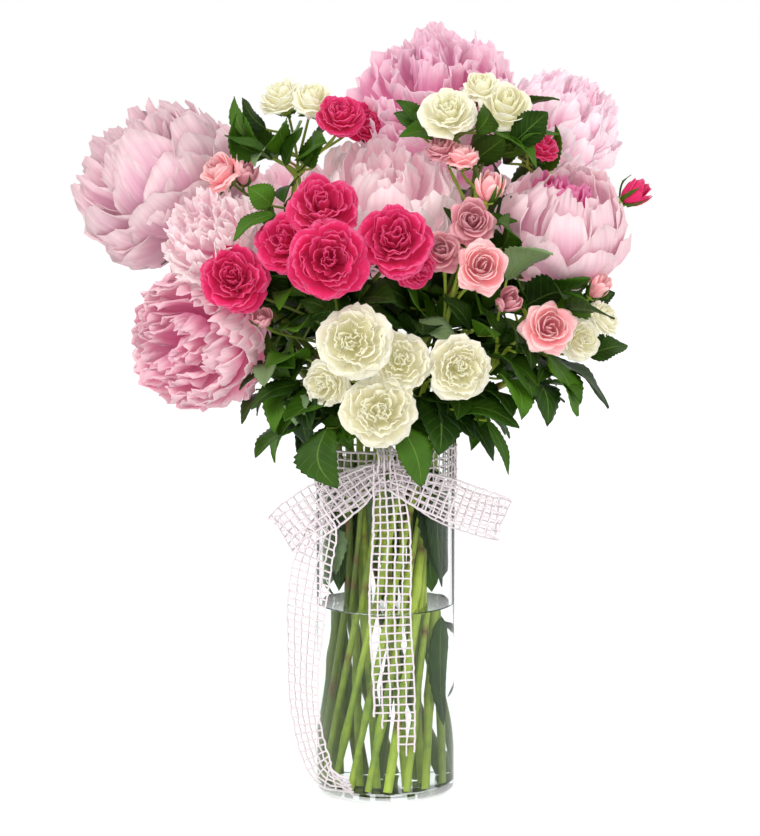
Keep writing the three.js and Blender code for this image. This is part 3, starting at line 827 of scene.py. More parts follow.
BALL = (
    Whorl(8, 118, 1.0, 112, 30, 0.58, curl=0.02, ruffle=0.045, scatter=0.7, rounding=0.4),
    Whorl(9, 101, 1.01, 108, 5, 0.58, curl=0.0, ruffle=0.045, scatter=0.7, rounding=0.4),
    Whorl(9, 84, 1.02, 104, -15, 0.54, curl=0.0, ruffle=0.045, rounding=0.4),
    Whorl(11, 69, 1.01, 94, -20, 0.44, notch=0.04, frill=0.03, ruffle=0.055, inner=0.1),
    Whorl(13, 56, 1.0, 82, -16, 0.36, notch=0.05, frill=0.035, ruffle=0.06, root=-0.5, inner=0.2),
    Whorl(13, 44, 0.99, 66, -14, 0.32, notch=0.05, frill=0.035, ruffle=0.065, root=-0.4, inner=0.4),
    Whorl(12, 32, 0.98, 48, -12, 0.29, notch=0.05, frill=0.035, ruffle=0.07, root=-0.3, inner=0.5),
    Whorl(10, 20, 0.97, 30, -8, 0.26, notch=0.05, frill=0.035, ruffle=0.07, root=-0.2, inner=0.7),
    Whorl(6, 8, 0.96, 12, 0, 0.22, notch=0.05, frill=0.035, ruffle=0.07, root=-0.2, inner=0.8),
)
RUFFLED = (
    Whorl(9, 110, 1.0, 108, 45, 0.48, frill=0.02, ruffle=0.05),
    Whorl(11, 96, 1.02, 106, 20, 0.44, frill=0.03, ruffle=0.05, notch=0.03),
    Whorl(11, 83, 1.03, 104, -5, 0.42, frill=0.03, ruffle=0.05, notch=0.04, wrap=0.85),
    Whorl(12, 70, 1.02, 97, -22, 0.38, frill=0.035, ruffle=0.05, notch=0.04, wrap=0.9, inner=0.1),
    Whorl(12, 58, 1.0, 86, -32, 0.35, frill=0.04, ruffle=0.055, notch=0.05, root=-0.5, inner=0.2),
    Whorl(12, 47, 0.98, 72, -32, 0.31, frill=0.04, ruffle=0.06, notch=0.05, root=-0.45, inner=0.4),
    Whorl(11, 36, 0.96, 56, -28, 0.27, frill=0.04, ruffle=0.06, notch=0.05, root=-0.4, inner=0.6),
    Whorl(10, 25, 0.94, 38, -20, 0.25, frill=0.04, ruffle=0.06, notch=0.05, root=-0.3, inner=0.8),
    Whorl(7, 13, 0.92, 20, -12, 0.22, frill=0.04, ruffle=0.06, notch=0.05, root=-0.2, inner=1.0),
)
FRILLY = (
    Whorl(9, 108, 1.0, 108, 50, 0.5, frill=0.04, ruffle=0.06),
    Whorl(11, 93, 1.02, 104, 30, 0.42, notch=0.05, frill=0.05, ruffle=0.08),
    Whorl(12, 79, 1.03, 96, 10, 0.38, notch=0.06, frill=0.055, ruffle=0.09, inner=0.1),
    Whorl(12, 65, 1.02, 80, 0, 0.35, notch=0.06, frill=0.055, ruffle=0.09, root=-0.45, inner=0.2),
    Whorl(11, 51, 1.0, 60, -4, 0.33, notch=0.06, frill=0.055, ruffle=0.09, root=-0.35, inner=0.4),
    Whorl(10, 38, 0.99, 42, -4, 0.31, notch=0.06, frill=0.055, ruffle=0.09, root=-0.25, inner=0.6),
    Whorl(8, 24, 0.98, 26, -2, 0.28, notch=0.06, frill=0.055, ruffle=0.09, root=-0.15, inner=0.8),
    Whorl(5, 9, 0.97, 10, 0, 0.24, notch=0.06, frill=0.055, ruffle=0.08, root=-0.1, inner=0.9),
)
LOOSE = (
    Whorl(8, 112, 1.0, 112, 34, 0.56, frill=0.02, ruffle=0.06, rounding=0.4),
    Whorl(9, 98, 1.02, 108, 14, 0.53, notch=0.02, frill=0.03, ruffle=0.06, rounding=0.4),
    Whorl(9, 84, 1.03, 104, -6, 0.5, notch=0.03, frill=0.035, ruffle=0.07, wrap=0.8),
    Whorl(10, 71, 1.02, 96, -16, 0.46, notch=0.04, frill=0.04, ruffle=0.075, root=-0.5, inner=0.1),
    Whorl(10, 59, 1.0, 82, -22, 0.42, notch=0.05, frill=0.045, ruffle=0.08, root=-0.4, inner=0.2),
    Whorl(10, 47, 0.98, 64, -20, 0.38, notch=0.05, frill=0.045, ruffle=0.08, root=-0.4, inner=0.4),
    Whorl(9, 35, 0.96, 46, -16, 0.34, notch=0.05, frill=0.045, ruffle=0.085, root=-0.3, inner=0.6),
    Whorl(7, 22, 0.94, 28, -10, 0.3, notch=0.05, frill=0.045, ruffle=0.085, root=-0.3, inner=0.8),
    Whorl(5, 9, 0.93, 12, -4, 0.26, notch=0.05, frill=0.045, ruffle=0.08, root=-0.2, inner=1.0),
)
CUP = (
    Whorl(7, 108, 1.0, 112, 35, 0.58, ruffle=0.05, rounding=0.4),
    Whorl(7, 93, 1.02, 112, 10, 0.58, ruffle=0.05, wrap=0.8, rounding=0.4),
    Whorl(7, 79, 1.04, 108, -12, 0.56, ruffle=0.05, wrap=0.9, frill=0.02, rounding=0.4),
    Whorl(7, 66, 1.03, 104, -32, 0.54, ruffle=0.05, wrap=0.9, frill=0.03, notch=0.03),
    Whorl(8, 54, 1.0, 96, -44, 0.46, ruffle=0.055, root=-0.5, frill=0.03, notch=0.04, inner=0.1),
    Whorl(8, 42, 0.97, 82, -44, 0.4, ruffle=0.06, root=-0.45, frill=0.03, notch=0.05, inner=0.3),
    Whorl(8, 30, 0.93, 60, -36, 0.34, ruffle=0.065, root=-0.4, frill=0.03, notch=0.05, inner=0.6),
    Whorl(7, 18, 0.9, 36, -24, 0.28, ruffle=0.065, root=-0.3, frill=0.03, notch=0.05, inner=0.8),
    Whorl(5, 7, 0.87, 14, -8, 0.24, ruffle=0.06, root=-0.3, frill=0.03, notch=0.05, inner=1.0),
)
GOBLET = (
    Whorl(5, 106, 1.0, 112, 50, 0.6, wrap=0.8, ruffle=0.06, curl=0.06, rounding=0.4),
    Whorl(6, 88, 1.03, 112, 0, 0.62, wrap=0.9, ruffle=0.05, curl=0.0, scatter=0.8, rounding=0.4),
    Whorl(6, 70, 1.06, 112, -24, 0.62, wrap=1, ruffle=0.04, curl=-0.02, scatter=0.7, rounding=0.4),
    Whorl(6, 54, 1.07, 108, -40, 0.58, wrap=1, ruffle=0.05, curl=-0.02, scatter=0.7, rounding=0.4),
    Whorl(6, 40, 1.04, 102, -50, 0.5, wrap=1, ruffle=0.055, frill=0.03, notch=0.04, rounding=0.4),
    Whorl(6, 30, 1.01, 94, -52, 0.42, wrap=1.0, ruffle=0.06, frill=0.03, notch=0.04, inner=0.1),
    Whorl(5, 21, 0.98, 80, -50, 0.34, wrap=1.0, ruffle=0.06, frill=0.03, notch=0.04, inner=0.3),
)
GOBLET_HEART = (
    Whorl(7, 16, 0.86, 28, -16, 0.24, frill=0.04, ruffle=0.07, notch=0.05, root=-0.4),
    Whorl(6, 10, 0.88, 16, -6, 0.22, frill=0.04, ruffle=0.07, notch=0.05, root=-0.3),
    Whorl(4, 4, 0.86, 6, 0, 0.18, frill=0.04, ruffle=0.07, notch=0.05, root=-0.2),
)
ROSETTE = (
    Whorl(5, 98, 1.0, 84, 88, 0.64, wrap=0.5, curl=0.05, ruffle=0.05, roll=0.06, root=-0.5),
    Whorl(6, 84, 0.98, 78, 62, 0.58, wrap=0.6, curl=0.06, ruffle=0.05, roll=0.05, root=-0.5),
    Whorl(6, 69, 0.91, 68, 38, 0.5, wrap=0.8, curl=0.06, ruffle=0.05, root=-0.5, inner=0.1),
    Whorl(6, 55, 0.82, 58, 20, 0.42, wrap=0.8, curl=0.05, ruffle=0.05, root=-0.45, inner=0.3),
    Whorl(6, 42, 0.74, 46, 5, 0.35, wrap=0.8, curl=0.04, ruffle=0.05, root=-0.4, inner=0.5),
    Whorl(5, 29, 0.69, 32, 0, 0.29, wrap=0.8, curl=0.03, ruffle=0.05, root=-0.35, inner=0.8),
    Whorl(4, 15, 0.66, 16, 0, 0.24, wrap=0.8, curl=0.02, ruffle=0.05, root=-0.3, inner=1.0),
    Whorl(3, 4, 0.62, 6, 0, 0.18, wrap=0.8, curl=0.02, ruffle=0.04, root=-0.3, inner=1.0),
)
SPIRAL = (
    Whorl(
        5, 97, 1.04, 84, 96, 0.62, wrap=0.45, curl=0.12, ruffle=0.03, roll=0.16, root=-0.55,
        taper=0.4, rounding=0.5, shoulder=1.5,
    ),
    Whorl(
        5, 80, 0.96, 78, 70, 0.6, wrap=0.6, curl=0.12, ruffle=0.03, roll=0.12, root=-0.55,
        taper=0.3, rounding=0.45, shoulder=1.6,
    ),
    Whorl(4, 62, 0.86, 72, 32, 0.58, wrap=0.9, curl=0.06, ruffle=0.02, root=-0.5, inner=0.1),
    Whorl(4, 47, 0.77, 60, 0, 0.5, wrap=1.0, curl=0.03, ruffle=0.02, root=-0.5, inner=0.3),
    Whorl(4, 35, 0.72, 48, -8, 0.42, wrap=1.0, curl=0.02, ruffle=0.02, root=-0.45, inner=0.5),
    Whorl(3, 25, 0.69, 34, -8, 0.36, wrap=1.0, curl=0.01, ruffle=0.02, root=-0.4, inner=0.8),
    Whorl(3, 15, 0.68, 20, -6, 0.26, wrap=1.0, curl=0.0, ruffle=0.02, root=-0.4, inner=1.0),
    Whorl(2, 6, 0.68, 8, 0, 0.16, wrap=1.0, curl=0.0, ruffle=0.02, root=-0.3, inner=1.0),
)
POMPON = (
    Whorl(6, 102, 1.0, 88, 80, 0.6, wrap=0.6, curl=0.03, ruffle=0.06, root=-0.5, frill=0.03),
    Whorl(6, 90, 1.01, 86, 56, 0.58, wrap=0.7, curl=0.03, ruffle=0.06, root=-0.5, frill=0.03),
    Whorl(7, 76, 0.98, 80, 32, 0.5, wrap=0.8, curl=0.03, ruffle=0.06, root=-0.5, frill=0.03),
    Whorl(7, 62, 0.93, 70, 14, 0.42, curl=0.03, ruffle=0.06, root=-0.45, frill=0.03, inner=0.1),
    Whorl(7, 49, 0.86, 58, 4, 0.35, curl=0.03, ruffle=0.06, root=-0.4, frill=0.03, inner=0.3),
    Whorl(7, 36, 0.8, 42, 0, 0.28, curl=0.02, ruffle=0.06, root=-0.35, frill=0.04, inner=0.6),
    Whorl(6, 24, 0.77, 28, 0, 0.22, curl=0.02, ruffle=0.06, root=-0.3, frill=0.04, inner=0.9),
    Whorl(5, 12, 0.74, 14, 0, 0.2, curl=0.0, ruffle=0.06, root=-0.3, frill=0.04, inner=1.0),
    Whorl(3, 3, 0.7, 5, 0, 0.17, curl=0.0, ruffle=0.05, root=-0.3, frill=0.04, inner=1.0),
)
CLOSED = (
    Whorl(4, 54, 0.86, 74, -12, 0.5, wrap=0.95, curl=0.05, ruffle=0.02, root=-0.78),
    Whorl(4, 36, 0.92, 60, -16, 0.46, wrap=1.0, curl=0.02, ruffle=0.02, root=-0.78, inner=0.2),
    Whorl(3, 20, 0.95, 44, -14, 0.34, wrap=1.0, curl=0.0, ruffle=0.02, root=-0.7, inner=0.6),
    Whorl(3, 8, 0.95, 20, -4, 0.2, wrap=1.0, curl=0.0, ruffle=0.02, root=-0.6, inner=1.0),
)


@dataclass(frozen=True)
class Bloom:
    """One bloom: where its middle is, where it looks, and how large and how open it is."""

    at: Point
    facing: Point
    radius: float
    whorls: tuple[Whorl, ...]
    finish: PetalFinish
    seed: int

    def add_to(self, sheaf: Sheaf, grid: MasterGrid) -> None:
        """Adds the bloom's petals to a sheaf.

        Args:
            sheaf: what gathers them.
            grid: the flat grid that they are bent from.
        """
        draw = np.random.default_rng(self.seed)
        axes = bloom_axes(self.facing, draw.uniform(0.0, 2.0 * math.pi))
        for whorl in self.whorls:
            first = draw.uniform(0.0, 2.0 * math.pi)
            for place in range(whorl.count):
                jitter = 0.22 * whorl.scatter * draw.normal()
                azimuth = first + (place + jitter) * 2.0 * math.pi / whorl.count
                points = petal_points(grid, whorl, azimuth, draw)
                world = np.array(self.at) + self.radius * points @ axes
                inner = float(np.clip(whorl.inner + draw.normal(0.0, 0.06), 0.0, 1.0))
                sheaf.add(grid, world, float(draw.uniform(-1.0, 1.0)), inner)


# ------------------------------------------------------------------ the bouquet's plan


@dataclass(frozen=True)
class Peony:
    """A peony on its own stem."""

    name: str
    at: Point
    facing: Point
    radius: float
    ring: Ring
    neck: float
    whorls: tuple[Whorl, ...]
    finish: PetalFinish


@dataclass(frozen=True)
class Head:
    """One bloom of a spray of roses. share is where on the stem its stalk starts."""

    group: str
    at: Point
    facing: Point
    radius: float
    whorls: tuple[Whorl, ...]
    finish: PetalFinish
    share: float | None = None

    @property
    def is_bud(self) -> bool:
        """Says whether the head is still closed."""
        return self.whorls is CLOSED


@dataclass(frozen=True)
class Spray:
    """A branching stem of spray roses."""

    name: str
    ring: Ring
    neck: float
    heads: tuple[Head, ...]
    fork: Point | None = None


PEONIES = (
    Peony("far_left", (-160, 25, 433), (-0.6, 0.25, 0.75), 58, Ring.OUTER, -168, BALL, PEONY_MAUVE),
    Peony("left", (-118, -48, 398), (-0.4, -0.6, 0.7), 34, Ring.OUTER, -131, FRILLY, PEONY_WHITE),
    Peony(
        "low_left", (-130, -30, 330), (-0.5, -0.8, -0.05), 47, Ring.OUTER, 174, RUFFLED, PEONY_PINK
    ),
    Peony("top", (38, 24, 489), (-0.2, -0.65, 0.73), 57, Ring.INNER, 40, LOOSE, PEONY_DEEP),
    Peony(
        "top_right", (129, 55, 478), (0.45, -0.3, 0.85), 42, Ring.OUTER, 42, RUFFLED, PEONY_BLUSH
    ),
    Peony("right", (121, -28, 401), (0.15, -0.5, 0.85), 46, Ring.OUTER, 0, GOBLET, PEONY_PALE),
    Peony("middle", (-4, -14, 418), (0.05, -0.5, 0.86), 51, Ring.INNER, -110, CUP, PEONY_WHITE),
    Peony(
        "back_left", (-72, 95, 402), (-0.35, 0.7, 0.55), 48, Ring.OUTER, 140, RUFFLED, PEONY_PINK
    ),
    Peony("back_right", (66, 110, 398), (0.4, 0.8, 0.45), 48, Ring.OUTER, 70, BALL, PEONY_MAUVE),
)

SPRAYS = (
    Spray(
        "hot_pink_front", Ring.OUTER, -108,
        (
            Head("a", (-42, -94, 421), (0, -0.85, 0.5), 24, ROSETTE, HOT_PINK),
            Head("a", (-66, -90, 397), (-0.3, -0.87, 0.35), 22.5, ROSETTE, HOT_PINK),
            Head("b", (-38, -114, 386), (0, -1, 0.15), 27, ROSETTE, HOT_PINK),
            Head("c", (6, -98, 399), (0.05, -0.9, 0.4), 26, ROSETTE, HOT_PINK),
            Head("c", (20, -88, 382), (0.5, -0.7, -0.3), 17, ROSETTE, HOT_PINK),
            Head("d", (-102, -84, 373), (-0.1, -0.95, 0.25), 23.5, ROSETTE, HOT_PINK),
            Head("e", (-84, -74, 346), (-0.1, -0.8, 0.5), 9.5, CLOSED, DUSKY),
        ),
    ),
    Spray(
        "hot_pink_top", Ring.INNER, -165,
        (
            Head("a", (-31, -48, 483), (0.1, -0.75, 0.65), 17, ROSETTE, HOT_PINK),
            Head("b", (-17, -4, 480), (0.6, -0.6, 0.45), 16, ROSETTE, HOT_PINK, 1.0),
        ),
        (-62, -40, 440),
    ),
    Spray(
        "hot_pink_right", Ring.OUTER, 20,
        (
            Head("a", (106, -22, 464), (0.5, -0.4, 0.75), 16, ROSETTE, HOT_PINK),
            Head("b", (176, -6, 430), (0.8, -0.25, 0.5), 13, CLOSED, HOT_PINK, 1.0),
        ),
        (125, 34, 438),
    ),
    Spray(
        "salmon_front", Ring.OUTER, -62,
        (
            Head("a", (58, -80, 411), (0, -0.95, 0.3), 17.5, SPIRAL, DUSKY),
            Head("b", (64, -95, 381), (0, -0.97, 0.2), 19.5, SPIRAL, SALMON),
            Head("a", (38, -80, 391), (-0.1, -0.95, 0.3), 15.5, SPIRAL, DUSKY),
            Head("c", (70, -74, 434), (0.1, -0.4, 0.9), 12.5, CLOSED, SALMON),
        ),
    ),
    Spray(
        "salmon_right", Ring.OUTER, -40,
        (
            Head("a", (110, -86, 340), (0.1, -0.97, 0.2), 19.5, SPIRAL, SALMON),
            Head("b", (82, -84, 358), (0.3, -0.8, 0.4), 11.5, CLOSED, DUSKY),
            Head("c", (146, -56, 366), (0.55, -0.4, 0.75), 11, CLOSED, SALMON),
        ),
    ),
    Spray(
        "dusky_top", Ring.INNER, -65,
        (
            Head("a", (52, -60, 455), (0, -0.3, 0.95), 13, SPIRAL, SALMON),
            Head("a", (38, -56, 461), (-0.3, -0.5, 0.8), 12, SPIRAL, DUSKY),
        ),
        (62, -46, 432),
    ),
    Spray(
        "salmon_left", Ring.OUTER, -152,
        (
            Head("a", (-113, -46, 445), (-0.6, -0.5, 0.65), 17, SPIRAL, SALMON),
            Head("a", (-97, -42, 444), (0.2, -0.6, 0.8), 11, CLOSED, DUSKY),
        ),
        (-82, -20, 415),
    ),
    Spray(
        "cream_front", Ring.OUTER, -85,
        (
            Head("a", (-21, -104, 332), (-0.05, -0.97, 0.2), 25, POMPON, CREAM),
            Head("a", (9, -90, 317), (0.05, -0.97, 0.2), 21, POMPON, CREAM),
            Head("a", (-4, -94, 285), (0.05, -0.97, 0.22), 25.5, POMPON, CREAM),
            Head("b", (-40, -82, 302), (-0.4, -0.85, -0.2), 16, POMPON, CREAM),
            Head("c", (49, -90, 313), (0.1, -0.97, 0.1), 21.5, POMPON, CREAM),
        ),
    ),
    Spray(
        "cream_top", Ring.INNER, -20,
        (
            Head("a", (42, -64, 484), (-0.1, -0.8, 0.6), 20, ROSETTE, CREAM),
            Head("b", (82, -46, 489), (0.15, -0.8, 0.55), 20.5, SPIRAL, CREAM),
            Head("b", (66, -40, 503), (-0.1, -0.6, 0.8), 14, SPIRAL, CREAM),
        ),
        (64, -34, 440),
    ),
    Spray(
        "cream_left", Ring.INNER, 160,
        (
            Head("a", (-50, -34, 494), (0.25, -0.55, 0.8), 16, SPIRAL, CREAM),
            Head("a", (-72, -22, 496), (-0.3, -0.4, 0.85), 17, ROSETTE, CREAM),
        ),
        (-66, -2, 420),
    ),
    Spray(
        "cream_right", Ring.OUTER, -20,
        (
            Head("a", (133, -60, 331), (0.4, -0.8, 0.1), 16, ROSETTE, CREAM),
            Head("a", (150, -48, 344), (0.7, -0.3, 0.5), 14, ROSETTE, CREAM),
        ),
    ),
    Spray(
        "mixed_back", Ring.OUTER, 105,
        (
            Head("a", (-8, 118, 444), (-0.05, 0.8, 0.6), 22, ROSETTE, HOT_PINK),
            Head("b", (-18, 132, 384), (-0.1, 0.95, 0.2), 22, POMPON, CREAM),
            Head("c", (-66, 120, 350), (-0.4, 0.9, 0.1), 20, SPIRAL, SALMON),
        ),
    ),
)

# Leaves: where the blade starts, where it ends, and how wide it is.
LEAVES: tuple[tuple[Point, Point, float], ...] = (
    ((-86, -35, 460), (-99, -30, 498), 24),
    ((-78, -45, 454), (-112, -55, 464), 18),
    ((-69, -50, 449), (-57, -52, 475), 20),
    ((-78, -60, 422), (-94, -62, 434), 20),
    ((-51, -45, 447), (-45, -42, 472), 24),
    ((-28, -45, 325), (-47, -50, 343), 20),
    ((-75, -75, 416), (-103, -85, 400), 20),
    ((-62, -36, 292), (-84, -40, 334), 22),
    ((-31, -60, 337), (-59, -66, 358), 22),
    ((-59, -60, 299), (-93, -62, 283), 20),
    ((24, -46, 470), (6, -40, 486), 18),
    ((63, -50, 475), (102, -60, 446), 30),
    ((138, -30, 346), (161, -26, 361), 18),
    ((140, -42, 318), (168, -40, 327), 26),
    ((111, -60, 320), (128, -70, 277), 34),
    ((100, -55, 312), (115, -52, 279), 20),
    ((88, -78, 323), (82, -84, 347), 16),
    ((78, -60, 327), (64, -66, 351), 20),
    ((69, -75, 276), (83, -78, 239), 12),
    ((58, -62, 337), (37, -70, 358), 20),
    ((48, -60, 302), (71, -64, 323), 22),
    ((47, -70, 283), (90, -85, 269), 24),
    ((79, -60, 289), (58, -66, 300), 18),
    ((-40, -80, 271), (-32, -88, 231), 31),
    ((11, -84, 272), (26, -90, 233), 26),
    ((-55, -70, 293), (-62, -76, 273), 22),
    ((23, -66, 344), (50, -74, 328), 20),
    ((-52, 62, 372), (-92, 88, 362), 26),
    ((-30, 80, 330), (-52, 112, 312), 24),
    ((8, 84, 350), (22, 122, 338), 24),
    ((44, 70, 330), (78, 98, 318), 26),
    ((84, 44, 360), (126, 56, 350), 26),
    ((70, 26, 310), (108, 36, 292), 24),
    ((-74, 28, 330), (-116, 40, 322), 24),
    ((2, 60, 400), (-6, 92, 414), 22),
)


@dataclass(frozen=True)
class Blade:
    """A leaf's blade. upper is the level way that it faces, or else it faces outward."""

    base: Array
    tip: Array
    width: float
    upper: Array | None = None

    @property
    def outward(self) -> Array:
        """Returns the level direction that the blade's upper side leans to."""
        if self.upper is not None:
            return self.upper
        return unit((self.base[0] + self.tip[0], self.base[1] + self.tip[1], 1e-6))


@dataclass(frozen=True)
class Thicket:
    """A space that small leaves fill by rule, each turned outward from the space's heart."""

    low: Point
    high: Point
    heart: Point
    count: int
    lengths: tuple[float, float] = (36.0, 54.0)
    toward: Point = (0.0, -0.5, -0.1)


THICKETS = (
    Thicket((-88, -84, 292), (-8, -26, 392), (-20, -20, 330), 24),
    Thicket((8, -80, 292), (84, -26, 396), (30, -20, 330), 26),
    Thicket((84, -72, 296), (132, -20, 368), (70, -20, 330), 14),
    Thicket((-72, -62, 266), (60, -30, 300), (0, -10, 320), 12),
    Thicket((-92, -46, 430), (-28, 0, 486), (-60, -20, 440), 12, (28.0, 42.0)),
    Thicket((0, -60, 446), (104, -6, 484), (52, -20, 440), 10, (28.0, 42.0)),
    Thicket((-84, -30, 280), (96, 24, 380), (0, 0, 320), 40, (36.0, 52.0), (0.0, -0.2, 0.0)),
    Thicket((-110, 30, 280), (110, 92, 372), (0, 40, 320), 30, (40.0, 58.0), (0.0, 0.6, -0.1)),
    Thicket((-104, -26, 290), (-60, 40, 372), (-40, 0, 320), 8, (36.0, 50.0), (-0.4, 0.0, 0.1)),
    Thicket((88, -20, 292), (132, 50, 376), (60, 10, 320), 10, (36.0, 50.0), (0.4, 0.0, 0.1)),
    Thicket((-40, 30, 420), (90, 92, 462), (20, 40, 400), 8, (34.0, 48.0), (0.0, 0.6, 0.1)),
    Thicket((0, -24, 318), (104, 40, 396), (50, 40, 350), 26, (44.0, 60.0), (0.0, -0.7, 0.1)),
    Thicket((-84, -24, 300), (0, 40, 372), (-40, 40, 330), 18, (42.0, 58.0), (0.0, -0.7, 0.1)),
    Thicket((70, -10, 424), (112, 40, 458), (84, 40, 380), 6, (34.0, 48.0), (0.0, -0.2, 0.6)),
)
# How far out the tips of the small leaves may reach.
THICKET_REACH = ((-104.0, -104.0, 236.0), (160.0, 140.0, 505.0))

# Leaves that hang inside the vase: where they start, the heights of their base and their tip, their
# width, and the angle that their upper side faces.
WALL_LEAVES = (
    (-38, 2, 240, 158, 30, -92), (-28, 12, 226, 146, 30, -84), (-41, 4, 204, 146, 22, -100),
    (-22, 16, 236, 168, 26, -100), (24, 12, 240, 160, 30, -86), (38, -6, 232, 152, 30, -80),
    (30, 10, 206, 142, 28, -95), (36, 6, 214, 146, 22, -80), (-10, 10, 244, 164, 30, -90),
    (8, 14, 236, 166, 30, -90), (-16, 28, 240, 182, 30, 95), (14, 33, 238, 180, 30, 85),
    (36, 22, 234, 182, 28, 40), (-34, 24, 236, 184, 28, 140), (40, -2, 126, 48, 19, -84),
    (-14, 38, 226, 180, 24, 100), (2, 22, 226, 152, 28, -80), (36, 14, 120, 66, 18, 60),
    (-43, -6, 216, 142, 28, -150), (32, -18, 238, 150, 26, -66),
)


class BloomMaker:
    """Makes the petals of every bloom."""

    FIRST_SEED = 100
    HEART_SEED = 500
    PEONY_THICKNESS = 0.45
    ROSE_THICKNESS = 0.5

    def __init__(self) -> None:
        """Adds the flat grids that the petals are bent from."""
        self.peony_grid = MasterGrid(13, 6)
        self.rose_grid = MasterGrid(7, 6)

    def build(self) -> None:
        """Makes one piece for each group of heads and each peony."""
        seed = self.FIRST_SEED
        for spray in SPRAYS:
            groups: dict[tuple[str, str], list[Bloom]] = {}
            names = {head.group for head in spray.heads}
            for head in spray.heads:
                seed += 1
                bloom = bloom_of(head, seed)
                groups.setdefault((head.group, head.finish.name), []).append(bloom)
            for (group, colour), blooms in groups.items():
                node = f"roses_{spray.name}" + (f"_{group}" if len(names) > 1 else "")
                self._piece(f"petals_{node[6:]}_{colour[5:]}", blooms, self.rose_grid, node)
        for peony in PEONIES:
            seed += 1
            bloom = bloom_of(peony, seed)
            node = f"peony_{peony.name}"
            self._piece(f"petals_{node}", [bloom], self.peony_grid, node)
            if peony.whorls is GOBLET:
                changes = {"whorls": GOBLET_HEART, "finish": PEONY_HEART}
                heart = replace(bloom, seed=seed + self.HEART_SEED, **changes)
                self._piece(f"heart_{node}", [heart], self.peony_grid, node)

    def _piece(self, name: str, blooms: list[Bloom], grid: MasterGrid, node: str) -> None:
        """Makes the petals of some blooms as one piece.

        Args:
            name: the piece's name.
            blooms: the blooms, all in one finish.
            grid: the flat grid that their petals are bent from.
            node: the solid that they stand for.
        """
        sheaf = Sheaf(name)
        for bloom in blooms:
            bloom.add_to(sheaf, grid)
        is_peony = grid is self.peony_grid
        thickness = self.PEONY_THICKNESS if is_peony else self.ROSE_THICKNESS
        settle(sheaf.piece(thickness), blooms[0].finish, node)


def bloom_of(plan: Peony | Head, seed: int) -> Bloom:
    """Returns the bloom that a peony or a head of a spray asks for."""
    return Bloom(plan.at, plan.facing, plan.radius, plan.whorls, plan.finish, seed)


# ------------------------------------------------------------------ stems and leaves


# The cup under a bloom: its radius from bottom to top, in shares of its widest.
CUP_PROFILE = (0.25, 0.62, 0.9, 1.0, 1.0, 0.9, 0.6)


def bezier(points: Sequence[Array], count: int) -> Array:
    """Returns evenly numbered points on a cubic curve."""
    t = np.linspace(0.0, 1.0, count)[:, None]
    s = 1.0 - t
    a, b, c, d = points
    return s**3 * a + 3 * s**2 * t * b + 3 * s * t**2 * c + t**3 * d


def bend(start: Array, leaving: Array, end: Array, arriving: Array, count: int) -> Array:
    """Returns a bend that starts along one direction and ends partly along another."""
    pull = 0.38 * np.linalg.norm(end - start)
    arrival = unit(0.6 * unit(end - start) + arriving)
    return bezier([start, start + pull * leaving, end - pull * arrival, end], count)


@dataclass(frozen=True)
class Crown:
    """What the green holds up: a bloom's middle, direction and radius.

    depth is how far under the middle its petals start, in radii, and share is where on the stem
    its stalk starts.
    """

    at: Array
    facing: Array
    radius: float
    depth: float
    is_bud: bool = False
    share: float | None = None

    def under(self, more: float) -> Array:
        """Returns the point behind the bloom, this much deeper than where its petals start."""
        return self.at - self.facing * (self.depth + more) * self.radius


@dataclass
class Plant:
    """The green of one peony or one spray: stem, stalks, cups under the blooms and leaves."""

    name: str
    node: str
    ring: Ring
    neck: float
    heads: tuple[Crown, ...]
    is_peony: bool
    fork: Point | None
    seed: int
    limbs: list[tuple[Array, float]] = field(default_factory=list)

    def grow(self) -> None:
        """Works out the lines of the stem and the stalks."""
        angle = math.radians(self.neck)
        foot = self._in_ring(angle - self.ring.twist, FOOT_HEIGHT)
        neck = self._in_ring(angle, NECK_HEIGHT)
        rise = unit(neck - foot)
        straight = np.linspace(foot, neck, 40)[:-1]
        ends = [head.under(CUP_DEPTH) for head in self.heads]
        if self.is_peony:
            bent = bend(neck, rise, ends[0], self.heads[0].facing, 30)
            self.limbs = [(np.vstack([straight, bent]), PEONY_STEM)]
            return
        middle = np.mean(ends, axis=0)
        fork = np.array(self.fork) if self.fork else middle + FORK_SHARE * (neck - middle)
        toward = unit(middle - fork)
        forward = unit((1.0 - UPRIGHT) * toward + UPRIGHT * np.array([0.0, 0.0, 1.0]))
        bent = bend(neck, rise, fork, forward, 26)
        main = np.vstack([straight, bent])
        self.limbs = [(main, SPRAY_STEM)]
        lengths = summed(steps_between(main))
        for place, (end, head) in enumerate(zip(ends, self.heads)):
            spread = 1.0 - STALK_SPREAD * place / len(ends)
            share = spread if head.share is None else head.share
            start = main[int(np.argmin(np.abs(lengths - share * lengths[-1])))]
            self.limbs.append((bend(start, forward, end, head.facing, 18), STALK))

    def _in_ring(self, angle: float, height: float) -> Array:
        """Returns a point of the plant's ring of stems."""
        radius = self.ring.radius
        return np.array([radius * math.cos(angle), radius * math.sin(angle), height])

    def nearest(self, target: Array) -> tuple[Array, float]:
        """Finds the point of the plant that a leaf grows from.

        Args:
            target: where the leaf's blade starts.

        Returns:
            The point, and its distance.
        """
        points = np.vstack([line for line, _ in self.limbs])
        points = points[points[:, 2] < target[2] - LEAF_RISE]
        distances = np.linalg.norm(points - target, axis=1)
        best = int(np.argmin(distances))
        return points[best], float(distances[best])


